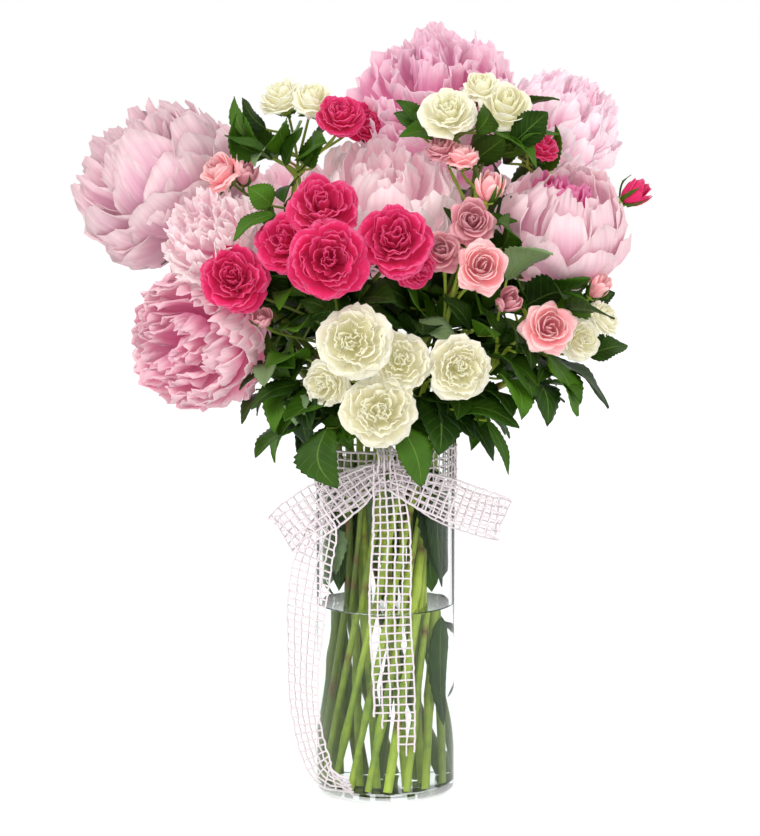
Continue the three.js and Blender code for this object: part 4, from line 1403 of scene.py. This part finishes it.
def tubes(
    name: str, lines: Sequence[tuple[Array, Array]], roundness: int
) -> bpy.types.Object:
    """Makes round limbs along lines as one mesh.

    Args:
        name: the piece's name.
        lines: points in millimetres and the radius at each.
        roundness: how finely the limbs are rounded.

    Returns:
        The piece.
    """
    curve = bpy.data.curves.new(name, "CURVE")
    curve.dimensions = "3D"
    curve.bevel_depth = 1.0
    curve.bevel_resolution = roundness
    curve.use_fill_caps = True
    for points, radii in lines:
        spline = curve.splines.new("POLY")
        spline.points.add(len(points) - 1)
        places = np.column_stack([points * MM, np.ones(len(points))])
        spline.points.foreach_set("co", places.ravel())
        spline.points.foreach_set("radius", np.asarray(radii) * MM)
    obj = bpy.data.objects.new(name, curve)
    bpy.context.scene.collection.objects.link(obj)
    only(obj)
    bpy.ops.object.convert(target="MESH")
    bpy.ops.object.shade_smooth()
    return bpy.context.object


class GreenMaker:
    """Makes the stems, stalks, cups, sepals and leaves."""

    LEAF_GAP = 15.0
    LONGEST_STALK = 34.0
    BLADE_THICKNESS = 0.5
    TRIES = 60
    SMALL_WIDTHS = (0.54, 0.68)
    SCARS = 4
    SCAR_SWELL = 0.35
    SCAR_LENGTH = 1.4
    THINNING = 0.25
    SCAR_REACH = (2.5, 6.0)
    SCAR_PLACES = (0.08, 0.9)
    # Depths in the water, front to back, over which the stems are painted darker as shade.
    FRONT_TO_BACK = (-26.0, 14.0)
    BASE_INWARD = 0.8
    TIP_STRAY = 3.0

    def __init__(self) -> None:
        """Adds the flat grids that leaves and sepals are bent from."""
        self.leaf_grid = MasterGrid(6, 22)
        self.sepal_grid = MasterGrid(4, 7)
        self.draw = np.random.default_rng(11)
        self.plants = [self._peony_plant(peony, place) for place, peony in enumerate(PEONIES)]
        self.plants += [self._spray_plant(spray, 50 + place) for place, spray in enumerate(SPRAYS)]
        for plant in self.plants:
            plant.grow()

    def _peony_plant(self, peony: Peony, seed: int) -> Plant:
        """Describes the green of a peony."""
        name, ring, neck = peony.name, peony.ring, peony.neck
        crown = Crown(np.array(peony.at, float), unit(peony.facing), peony.radius, 0.78)
        return Plant(name, f"stem_{name}", ring, neck, (crown,), True, None, seed)

    def _spray_plant(self, spray: Spray, seed: int) -> Plant:
        """Describes the green of a spray of roses."""
        name, ring, neck = spray.name, spray.ring, spray.neck
        crowns = []
        for head in spray.heads:
            at, facing = np.array(head.at, float), unit(head.facing)
            depth = 0.88 if head.is_bud else 0.68
            crowns.append(Crown(at, facing, head.radius, depth, head.is_bud, head.share))
        return Plant(name, f"spray_{name}", ring, neck, tuple(crowns), False, spray.fork, seed)

    def build(self) -> None:
        """Makes the stems and the leaves of each plant."""
        leaves = [
            Blade(np.array(base, float), np.array(tip, float), width) for base, tip, width in LEAVES
        ]
        for thicket in THICKETS:
            leaves += self._fill(thicket)
        leaves += self._wall_leaves()
        owners = [
            min(self.plants, key=lambda plant, base=leaf.base: plant.nearest(base)[1])
            for leaf in leaves
        ]
        for plant in self.plants:
            own = [leaf for leaf, owner in zip(leaves, owners) if owner is plant]
            self._stems(plant, own)
            self._blades(plant, own)

    def _fill(self, thicket: Thicket) -> list[Blade]:
        """Draws the small leaves of a thicket, clear of the blooms and apart from each other.

        Args:
            thicket: the space that they fill.

        Returns:
            The leaves' blades.
        """
        draw = self.draw
        low, high = np.array(thicket.low), np.array(thicket.high)
        taken: list[Array] = []
        leaves = []
        for _ in range(self.TRIES * thicket.count):
            base = draw.uniform(low, high)
            outward = unit(base - np.array(thicket.heart))
            way = unit(outward + np.array(thicket.toward) + draw.normal(0.0, 0.35, 3))
            length = draw.uniform(*thicket.lengths)
            tip = base + length * way
            probes = [base + share * (tip - base) for share in (0.0, 0.25, 0.5, 0.75, 1.0)]
            middle = probes[2]
            within = np.all(tip > THICKET_REACH[0]) and np.all(tip < THICKET_REACH[1])
            apart = all(np.linalg.norm(middle - other) > self.LEAF_GAP for other in taken)
            if not (apart and within) or any(self._in_bloom(probe) for probe in probes):
                continue
            if min(plant.nearest(base)[1] for plant in self.plants) > self.LONGEST_STALK:
                continue
            taken.append(middle)
            leaves.append(Blade(base, tip, length * draw.uniform(*self.SMALL_WIDTHS)))
            if len(leaves) == thicket.count:
                break
        LOG.info("thicket: %d of %d leaves", len(leaves), thicket.count)
        return leaves

    def _in_bloom(self, point: Array, air: float = 3.0) -> bool:
        """Says whether a point lies inside any bloom, or nearly so."""
        return any(
            np.linalg.norm(point - head.at) < head.radius + air
            for plant in self.plants
            for head in plant.heads
        )

    def _wall_leaves(self) -> list[Blade]:
        """Lists the leaves that hang inside the vase, near its wall."""
        leaves = []
        for x, y, high, low, width, angle in WALL_LEAVES:
            base = np.array([self.BASE_INWARD * x, self.BASE_INWARD * y, high])
            tip = np.array([x + self.draw.normal(0.0, self.TIP_STRAY), y, low])
            turned = math.radians(angle)
            upper = np.array([math.cos(turned), math.sin(turned), 0.0])
            leaves.append(Blade(base, tip, width, upper))
        return leaves

    def _stems(self, plant: Plant, leaves: list[Blade]) -> None:
        """Makes the stem, the stalks, the leaf stalks and the cups of a plant."""
        draw = np.random.default_rng(plant.seed)
        lines = [self._limb(line, radius, draw) for line, radius in plant.limbs]
        lines += [self._leaf_stalk(plant, leaf.base) for leaf in leaves]
        lines += [self._cup(head) for head in plant.heads]
        obj = tubes(f"stems_{plant.name}", lines, 2)
        self._mark(obj.data, plant, draw)
        settle(obj, STEM_LOOK, plant.node)

    def _limb(
        self, line: Array, radius: float, draw: np.random.Generator
    ) -> tuple[Array, Array]:
        """Returns a limb that gets thinner upward and swells where leaves were cut."""
        count = len(line)
        share = np.linspace(0.0, 1.0, count)
        radii = radius * (1.0 - self.THINNING * share)
        for node in draw.uniform(*self.SCAR_PLACES, self.SCARS if radius > STALK else 1):
            bulge = np.exp(-(((share - node) * count / self.SCAR_LENGTH) ** 2))
            radii = radii + self.SCAR_SWELL * radius * bulge
        return line, radii

    def _leaf_stalk(self, plant: Plant, base: Array) -> tuple[Array, Array]:
        """Returns the thin stalk from the plant to where a leaf's blade starts."""
        root = plant.nearest(base)[0]
        line = bend(root, unit(unit(base - root) + (0, 0, 0.4)), base, unit(base - root), 8)
        return line, np.linspace(LEAF_STALK, 0.8 * LEAF_STALK, len(line))

    def _cup(self, head: Crown) -> tuple[Array, Array]:
        """Returns the rounded green cup under a bloom."""
        top, low = head.under(-0.16), head.under(0.12)
        swell = (0.34 if head.is_bud else 0.3) * head.radius
        shares = np.linspace(0.0, 1.0, len(CUP_PROFILE))[:, None]
        return low + (top - low) * shares, np.array(CUP_PROFILE) * swell

    def _mark(self, mesh: bpy.types.Mesh, plant: Plant, draw: np.random.Generator) -> None:
        """Stores where the scars are, and how far the stem is darkened toward olive, for its
        finish: mostly painted shade on stems that stand toward the back of the water, partly a
        random tone.

        Args:
            mesh: the plant's stems.
            plant: the plant.
            draw: the source of chance.
        """
        points = np.empty(len(mesh.vertices) * 3)
        mesh.vertices.foreach_get("co", points)
        points = points.reshape(-1, 3) / MM
        knot = np.zeros(len(points))
        main = plant.limbs[0][0]
        for node in draw.uniform(*self.SCAR_PLACES, self.SCARS):
            spot = main[int(node * (len(main) - 1))]
            away = smooth(np.linalg.norm(points - spot, axis=1), *self.SCAR_REACH)
            knot = np.maximum(knot, 1.0 - away)
        # Painted shade: the further back its stem stands in the water, the more olive it is
        # painted, plus a small random tone.
        low_part = main[main[:, 2] < WATER_LEVEL]
        painted_back_shade = float(smooth(np.array([low_part[:, 1].mean()]), *self.FRONT_TO_BACK)[0])
        olive_and_back_shade = 0.75 * painted_back_shade + draw.uniform(0.0, 0.25)
        for name, values in (("knot", knot), ("age", np.full(len(points), olive_and_back_shade))):
            store = mesh.attributes.new(name, "FLOAT", "POINT")
            store.data.foreach_set("value", values)

    def _blades(self, plant: Plant, leaves: list[Blade]) -> None:
        """Makes the leaves of a plant, and the sepals under its blooms."""
        draw = np.random.default_rng(plant.seed + 1000)
        sheaf = Sheaf(f"leaves_{plant.name}")
        for leaf in leaves:
            points = leaf_points(self.leaf_grid, leaf, draw)
            sheaf.add(self.leaf_grid, points, float(draw.uniform(-1.0, 1.0)), 0.0)
        for head in plant.heads:
            for points in self._sepals(head, plant.is_peony, draw):
                sheaf.add(self.sepal_grid, points, float(draw.uniform(0.2, 0.8)), 0.0)
        settle(sheaf.piece(self.BLADE_THICKNESS), LEAF, plant.node)

    def _sepals(self, head: Crown, is_peony: bool, draw: np.random.Generator) -> list[Array]:
        """Bends the five sepals under one bloom.

        Args:
            head: the bloom.
            is_peony: whether the bloom is a peony.
            draw: the source of chance.

        Returns:
            The points of each sepal.
        """
        axes = bloom_axes(head.facing, draw.uniform(0.0, 6.0))
        low = -head.depth
        if head.is_bud:
            form = Whorl(5, 58, 1.0, 70, 5, 0.24, wrap=1.0, rounding=0.8, shoulder=1.2, root=low)
        elif is_peony:
            form = Whorl(5, 140, 0.86, 88, 60, 0.16, rounding=0.5, root=low)
        else:
            form = Whorl(5, 122, 1.0, 92, 110, 0.17, rounding=0.85, shoulder=1.1, root=low)
        sepals = []
        for place in range(form.count):
            azimuth = (place + 0.2 * draw.normal()) * 2.0 * math.pi / form.count
            points = petal_points(self.sepal_grid, form, azimuth, draw)
            sepals.append(head.at + head.radius * points @ axes)
        return sepals


# A leaf's shape: depth of its teeth, and its arch, droop, sway, fold and wave, in shares of its
# length or its width.
TOOTH = 0.06
ARCH = 0.14
DROOP = 0.08
SWAY = 0.05
FOLD = 0.22
FOLD_SPREAD = 0.08
WAVE = 0.05


def leaf_points(grid: MasterGrid, leaf: Blade, draw: np.random.Generator) -> Array:
    """Bends one copy of the grid into a leaf.

    Args:
        grid: the flat grid.
        leaf: where the blade starts and ends, and how wide it is.
        draw: the source of chance.

    Returns:
        Its points, in millimetres.
    """
    across, along = grid.across, grid.along
    base, tip, width = leaf.base, leaf.tip, leaf.width
    upper = 0.8 * leaf.outward + np.array([0.0, 0.0, 0.6])
    axis = tip - base
    side = unit(np.cross(axis, upper))
    face = unit(np.cross(side, axis))
    length = float(np.linalg.norm(axis))
    outline = np.sin(np.pi * np.minimum(1.0, along**0.82)) ** 0.72 * (1.0 - 0.25 * along**3)
    teeth = 1.0 + TOOTH * (1.0 - 2.0 * (grid.row % 2)) * np.abs(across) ** 5
    half = 0.5 * width * outline * teeth
    arch = ARCH * length * np.sin(np.pi * along) * (1.0 + 0.4 * draw.normal())
    droop = DROOP * length * along**3 * draw.normal()
    fold = (FOLD + FOLD_SPREAD * draw.normal()) * np.abs(across) * half
    wave = WAVE * width * np.sin(9.0 * along + 3.0 * across + draw.uniform(0.0, 6.0)) * across**2
    sway = SWAY * length * np.sin(np.pi * along) * draw.normal()
    lift = arch + droop + fold + wave
    points = (
        base
        + along[:, None] * axis
        + (across * half + sway)[:, None] * side
        + lift[:, None] * face
    )
    if leaf.upper is not None:
        radius = np.hypot(points[:, 0], points[:, 1])
        points[:, :2] *= np.minimum(1.0, INSIDE_REACH / radius)[:, None]
    return points


# ------------------------------------------------------------------ vase and water


class VaseMaker:
    """Makes the glass cylinder and the water in it. Lengths are in millimetres."""

    SIDES = 128
    SAME_LEVEL = 1e-5
    RIM_ROUND = 1.3
    BOTTOM_ROUND = 2.4
    WATER_ROUND = 2.3
    INTO_GLASS = 0.12
    CLIMB = ((0.7, 0.9), (1.2, 0.5))

    def _start_choosing(self, kind: str) -> None:
        """Leaves no face or edge chosen, ready to choose new ones."""
        bpy.ops.object.mode_set(mode="EDIT")
        bpy.ops.mesh.select_mode(type=kind)
        bpy.ops.mesh.select_all(action="DESELECT")
        bpy.ops.object.mode_set(mode="OBJECT")

    def _choose_top(self, obj: bpy.types.Object) -> None:
        """Chooses the faces that look up."""
        self._start_choosing("FACE")
        for face in obj.data.polygons:
            face.select = face.normal.z > 0.9
        bpy.ops.object.mode_set(mode="EDIT")

    def _choose_edges(self, obj: bpy.types.Object, keep: Callable[[Vector, Vector], bool]) -> None:
        """Chooses the edges whose two ends pass a test."""
        self._start_choosing("EDGE")
        points = obj.data.vertices
        for edge in obj.data.edges:
            first, second = edge.vertices
            edge.select = keep(points[first].co, points[second].co)
        bpy.ops.object.mode_set(mode="EDIT")

    def build(self) -> None:
        """Makes the vase and the water."""
        self._vase()
        self._water()

    def _cylinder(self, name: str, radius: float, low: float, high: float) -> bpy.types.Object:
        """Adds an upright cylinder whose place is in its mesh."""
        deselect()
        bpy.ops.mesh.primitive_cylinder_add(
            vertices=self.SIDES,
            radius=radius * MM,
            depth=(high - low) * MM,
            location=(0.0, 0.0, 0.5 * (low + high) * MM),
        )
        obj = bpy.context.object
        bpy.ops.object.transform_apply(location=True, rotation=True, scale=True)
        obj.name = name
        obj.data.name = name
        return obj

    def _vase(self) -> None:
        """Makes the glass: hollowed from the top, with rounded rims."""
        obj = self._cylinder("glass_cylinder", VASE_RADIUS, 0.0, VASE_HEIGHT)
        self._choose_top(obj)
        bpy.ops.mesh.inset(thickness=GLASS * MM)
        bpy.ops.mesh.extrude_region_move(
            TRANSFORM_OT_translate={"value": (0.0, 0.0, -(VASE_HEIGHT - BOTTOM) * MM)}
        )
        top = VASE_HEIGHT * MM - self.SAME_LEVEL
        self._choose_edges(obj, lambda a, b: a.z > top and b.z > top)
        bpy.ops.mesh.bevel(offset=self.RIM_ROUND * MM, segments=4)
        inner = (VASE_RADIUS - GLASS + 0.2) * MM

        def at_floor(a: Vector, b: Vector) -> bool:
            """Says whether an edge runs round the outer or the inner bottom."""
            level = abs(a.z - b.z) < self.SAME_LEVEL
            outside = a.z < self.SAME_LEVEL
            inside = abs(a.z - BOTTOM * MM) < self.SAME_LEVEL and a.xy.length < inner
            return level and (outside or inside)

        self._choose_edges(obj, at_floor)
        bpy.ops.mesh.bevel(offset=self.BOTTOM_ROUND * MM, segments=5)
        bpy.ops.object.mode_set(mode="OBJECT")
        bpy.ops.object.shade_smooth_by_angle(angle=math.radians(35.0))
        settle(obj, GLASS_FINISH, "vase")

    def _water(self) -> None:
        """Makes the water, which climbs a little where it meets the glass."""
        radius = VASE_RADIUS - GLASS + self.INTO_GLASS
        obj = self._cylinder("still_water", radius, BOTTOM - 0.1, WATER_LEVEL)
        self._choose_top(obj)
        bpy.ops.mesh.inset(thickness=0.4 * MM)
        for thickness, drop in self.CLIMB:
            bpy.ops.mesh.inset(thickness=thickness * MM)
            bpy.ops.transform.translate(value=(0.0, 0.0, -drop * MM))
        bottom = BOTTOM * MM
        self._choose_edges(
            obj, lambda a, b: max(a.z, b.z) < bottom and abs(a.z - b.z) < self.SAME_LEVEL
        )
        bpy.ops.mesh.bevel(offset=self.WATER_ROUND * MM, segments=4)
        bpy.ops.object.mode_set(mode="OBJECT")
        bpy.ops.object.shade_smooth_by_angle(angle=math.radians(40.0))
        settle(obj, WATER_FINISH, "water")


# ------------------------------------------------------------------ ribbon


@dataclass(frozen=True)
class Run:
    """A length of ribbon along a line. wide is the way that it is wide, at start and end.

    gather is its share of the full width at the start and at the end, and ends says how far
    along each lengthwise thread goes, in shares of the whole.
    """

    points: tuple[Point, ...]
    wide: tuple[Point, ...]
    gather: tuple[float, ...] = (1.0, 1.0)
    ends: tuple[float, ...] = (1.0, 1.0, 1.0, 1.0, 1.0, 1.0)


@dataclass
class RibbonMaker:
    """Makes the open net ribbon from its threads."""

    width: float = 30.0
    pitch: float = 5.7
    thread: float = 0.72
    warps: int = 6
    fineness: int = 160
    weave: float = 0.35
    unevenness: float = 0.22
    pleat: float = 1.6
    collar: float = VASE_RADIUS + 0.9
    collar_height: float = 236.0
    knot: Point = (0.0, -57.0, 238.0)
    length: float = 0.0
    lines: list[tuple[Array, Array]] = field(default_factory=list)
    draw: np.random.Generator = field(default_factory=lambda: np.random.default_rng(23))

    def _loop(self, aim: Sequence[float], length: float) -> Run:
        """Describes a bow loop: out from the knot, round at its end and back behind itself."""
        out = unit((aim[0], 0.0, aim[1]))
        across = np.array([-out[2], 0.0, out[0]])
        profile = (
            (0.04, 3, -2.5), (0.3, 7, -1), (0.65, 9, 1), (0.93, 5, 2), (1.0, -0.5, 1),
            (0.9, -4, -2), (0.6, -3, -4), (0.3, -1, -2), (0.04, 0, 0),
        )
        points = tuple(
            tuple(np.array(self.knot) + share * length * out + (0, -front, 0) + side * across)
            for share, front, side in profile
        )
        return Run(points, (tuple(across),), (0.5, 0.85, 1.0, 1.0, 1.0, 1.0, 1.0, 0.85, 0.5))

    def _runs(self) -> list[Run]:
        """Lists every length of the ribbon."""
        collar = tuple(
            (self.collar * math.sin(angle), -self.collar * math.cos(angle), self.collar_height)
            for angle in np.linspace(0.1, 2.0 * math.pi - 0.1, 40)
        )
        front = Run(
            (
                (0, -59, 246), (2, -62, 226), (4, -61, 195),
                (3, -57, 140), (6, -55, 80), (6, -55.5, 36),
            ),
            ((1, 0, 0), (1, 0, 0), (0.97, 0.12, 0)),
            (0.6, 0.86, 1.0, 1.0, 1.0, 1.0),
            (0.87, 0.9, 0.865, 0.98, 1.0, 0.985),
        )
        left = Run(
            (
                (-2, -57, 238), (-28, -58, 226), (-50, -55, 176), (-58, -38, 109),
                (-57, -36, 60), (-44, -46, 22), (-24, -56, 14),
            ),
            ((0.3, 0.1, 1), (0.5, -0.4, 0.6), (0.65, -0.75, 0.1)),
            (0.5, 0.9, 1.0, 1.0, 1.0, 1.0, 1.0),
        )
        wrap = Run(
            (
                (0, -51.5, 253), (0, -57, 255), (0, -62.5, 251),
                (0, -63.5, 246), (0, -60, 240), (0, -53, 238),
            ),
            ((1, 0, 0),),
            (0.5, 0.4, 0.34, 0.34, 0.4, 0.5),
        )
        return [
            Run(collar, ((0, 0, 1),)),
            self._loop((-73, -43), 84),
            self._loop((81, -34), 88),
            front,
            left,
            wrap,
        ]

    def _lay(self, run: Run) -> None:
        """Lays the threads of one length of ribbon."""
        given = np.array(run.points, float)
        fine = catmull(given, summed(steps_between(given) ** 0.5), self.fineness)
        lengths = summed(steps_between(fine))
        total = lengths[-1]
        self.length += total
        rows = max(4, int(round(total / self.pitch)) * 2)
        marks = np.linspace(0.0, total, rows + 1)
        middle = columns_between(marks, lengths, fine)
        shares = marks / total
        wide = sampled([unit(way) for way in run.wide], shares)
        slope = np.gradient(middle, axis=0)
        slope /= np.linalg.norm(slope, axis=1, keepdims=True)
        wide = wide - np.sum(wide * slope, axis=1, keepdims=True) * slope
        wide /= np.linalg.norm(wide, axis=1, keepdims=True)
        face = np.cross(wide, slope)
        gather = sampled([np.array([share]) for share in run.gather], shares)[:, 0]
        offsets = np.linspace(-0.5, 0.5, self.warps) * (self.width - 2.0 * self.thread)
        wobble = self.draw.normal(0.0, self.unevenness, (rows + 1, self.warps))
        pleat = self.pleat * (1.0 - gather)
        grid = np.empty((rows + 1, self.warps, 3))
        for warp, offset in enumerate(offsets):
            lift = pleat * (2.0 if warp % 2 else -2.0)
            grid[:, warp] = (
                middle
                + (offset * gather + wobble[:, warp])[:, None] * wide
                + lift[:, None] * face
            )
        for warp in range(self.warps):
            last = int(round(run.ends[warp] * rows)) + 1
            sign = np.where(np.arange(rows + 1) // 2 % 2 == warp % 2, self.weave, -self.weave)
            line = grid[:, warp] + sign[:, None] * face
            edge = 1.15 if warp in (0, self.warps - 1) else 1.0
            self.lines.append((line[:last], np.full(last, self.thread * edge)))
        for row in range(1, rows, 2):
            held = [warp for warp in range(self.warps) if row <= run.ends[warp] * rows]
            if len(held) < 2:
                continue
            knots = grid[row, held[0] : held[-1] + 1]
            under = (np.arange(len(knots)) + row // 2) % 2 == 0
            sign = np.where(under, -self.weave, self.weave)
            line = knots + sign[:, None] * face[row]
            self.lines.append((line, np.full(len(line), self.thread * 0.9)))

    def build(self) -> None:
        for run in self._runs():
            self._lay(run)
        obj = tubes("net_of_threads", self.lines, 0)
        settle(obj, THREAD, "ribbon")
        self.width * MM
        LOG.info("ribbon: %.0f mm long", self.length)


def catmull(points: Array, steps: Array, count: int) -> Array:
    """Returns a smooth curve through points.

    Args:
        points: the points.
        steps: the curve's parameter at each.
        count: how many points come back.

    Returns:
        Points on the curve, the given ones near the same parameters.
    """
    slopes = np.gradient(points, steps, axis=0)
    where = np.linspace(steps[0], steps[-1], count)
    piece = np.clip(np.searchsorted(steps, where, side="right") - 1, 0, len(steps) - 2)
    span = steps[piece + 1] - steps[piece]
    t = ((where - steps[piece]) / span)[:, None]
    span = span[:, None]
    return (
        (2 * t**3 - 3 * t**2 + 1) * points[piece]
        + (t**3 - 2 * t**2 + t) * span * slopes[piece]
        + (3 * t**2 - 2 * t**3) * points[piece + 1]
        + (t**3 - t**2) * span * slopes[piece + 1]
    )


def sampled(values: Sequence[Array], shares: Array) -> Array:
    """Returns values between given ones that are evenly spread from 0 to 1."""
    table = np.array(values, float)
    if len(table) == 1:
        table = np.vstack([table, table])
    spots = np.linspace(0.0, 1.0, len(table))
    return columns_between(shares, spots, table)


# ------------------------------------------------------------------ camera, light and floor


@dataclass(frozen=True)
class Lamp:
    """A large soft lamp: where it hangs, how wide it is and how strong, in metres and watts."""

    name: str
    place: Point
    size: float
    power: float


LAMPS = (
    Lamp("key", (-0.9, -1.3, 1.5), 0.8, 14.0),
    Lamp("fill", (1.2, -1.0, 0.9), 1.0, 4.0),
)
LAMP_AIM = (0.0, 0.0, 0.35)


class Studio:
    """The camera, the soft light and the pale floor."""

    FLOOR_COLOUR = "#BEBEBE"
    FLOOR_GLOW = 0.6
    FLOOR_SIZE = 24.0

    def build(self) -> None:
        """Makes them all."""
        self._camera()
        self._lights()
        self._floor()

    def _camera(self) -> None:
        """Puts the camera where the photograph was taken from."""
        data = bpy.data.cameras.new("view")
        data.sensor_width = SENSOR
        data.lens = FOCAL_PIXELS / FRAME_HEIGHT * SENSOR
        camera = bpy.data.objects.new("view", data)
        camera.location = CAMERA_PLACE
        camera.rotation_euler = (math.radians(90.0 - CAMERA_TILT), 0.0, 0.0)
        bpy.context.scene.collection.objects.link(camera)
        bpy.context.scene.camera = camera

    def _lights(self) -> None:
        """Adds a white surrounding and two large soft lamps."""
        world = bpy.data.worlds.new("white_room")
        bpy.context.scene.world = world
        world.use_nodes = True
        tree = world.node_tree
        tree.nodes.clear()
        background = tree.nodes.new("ShaderNodeBackground")
        background.inputs["Color"].default_value = (1.0, 1.0, 1.0, 1.0)
        background.inputs["Strength"].default_value = 1.0
        output = tree.nodes.new("ShaderNodeOutputWorld")
        tree.links.new(background.outputs[0], output.inputs["Surface"])
        bpy.context.scene.view_settings.view_transform = "Standard"
        for plan in LAMPS:
            data = bpy.data.lights.new(plan.name, "AREA")
            data.size = plan.size
            data.energy = plan.power
            lamp = bpy.data.objects.new(plan.name, data)
            lamp.location = plan.place
            aim = Vector(LAMP_AIM) - Vector(plan.place)
            lamp.rotation_euler = aim.to_track_quat("-Z", "Y").to_euler()
            bpy.context.scene.collection.objects.link(lamp)

    def _floor(self) -> None:
        """Adds the plain pale floor."""
        deselect()
        bpy.ops.mesh.primitive_plane_add(size=self.FLOOR_SIZE, location=(0.0, 0.0, -0.5 * MM))
        floor = bpy.context.object
        floor.name = "floor"
        look = Look("pale_floor")
        surface = look.principled(
            Base_Color=linear(self.FLOOR_COLOUR),
            Roughness=0.9,
            Emission_Color=(1.0, 1.0, 1.0, 1.0),
            Emission_Strength=self.FLOOR_GLOW,
        )
        floor.data.materials.append(look.finish(surface))


def main() -> None:
    """Builds the bouquet; each piece's faces and the ribbon's length go to the log."""
    deselect()
    Studio().build()
    VaseMaker().build()
    RibbonMaker().build()
    BloomMaker().build()
    GreenMaker().build()
    deselect()
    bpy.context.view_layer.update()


if __name__ == "__main__":
    main()
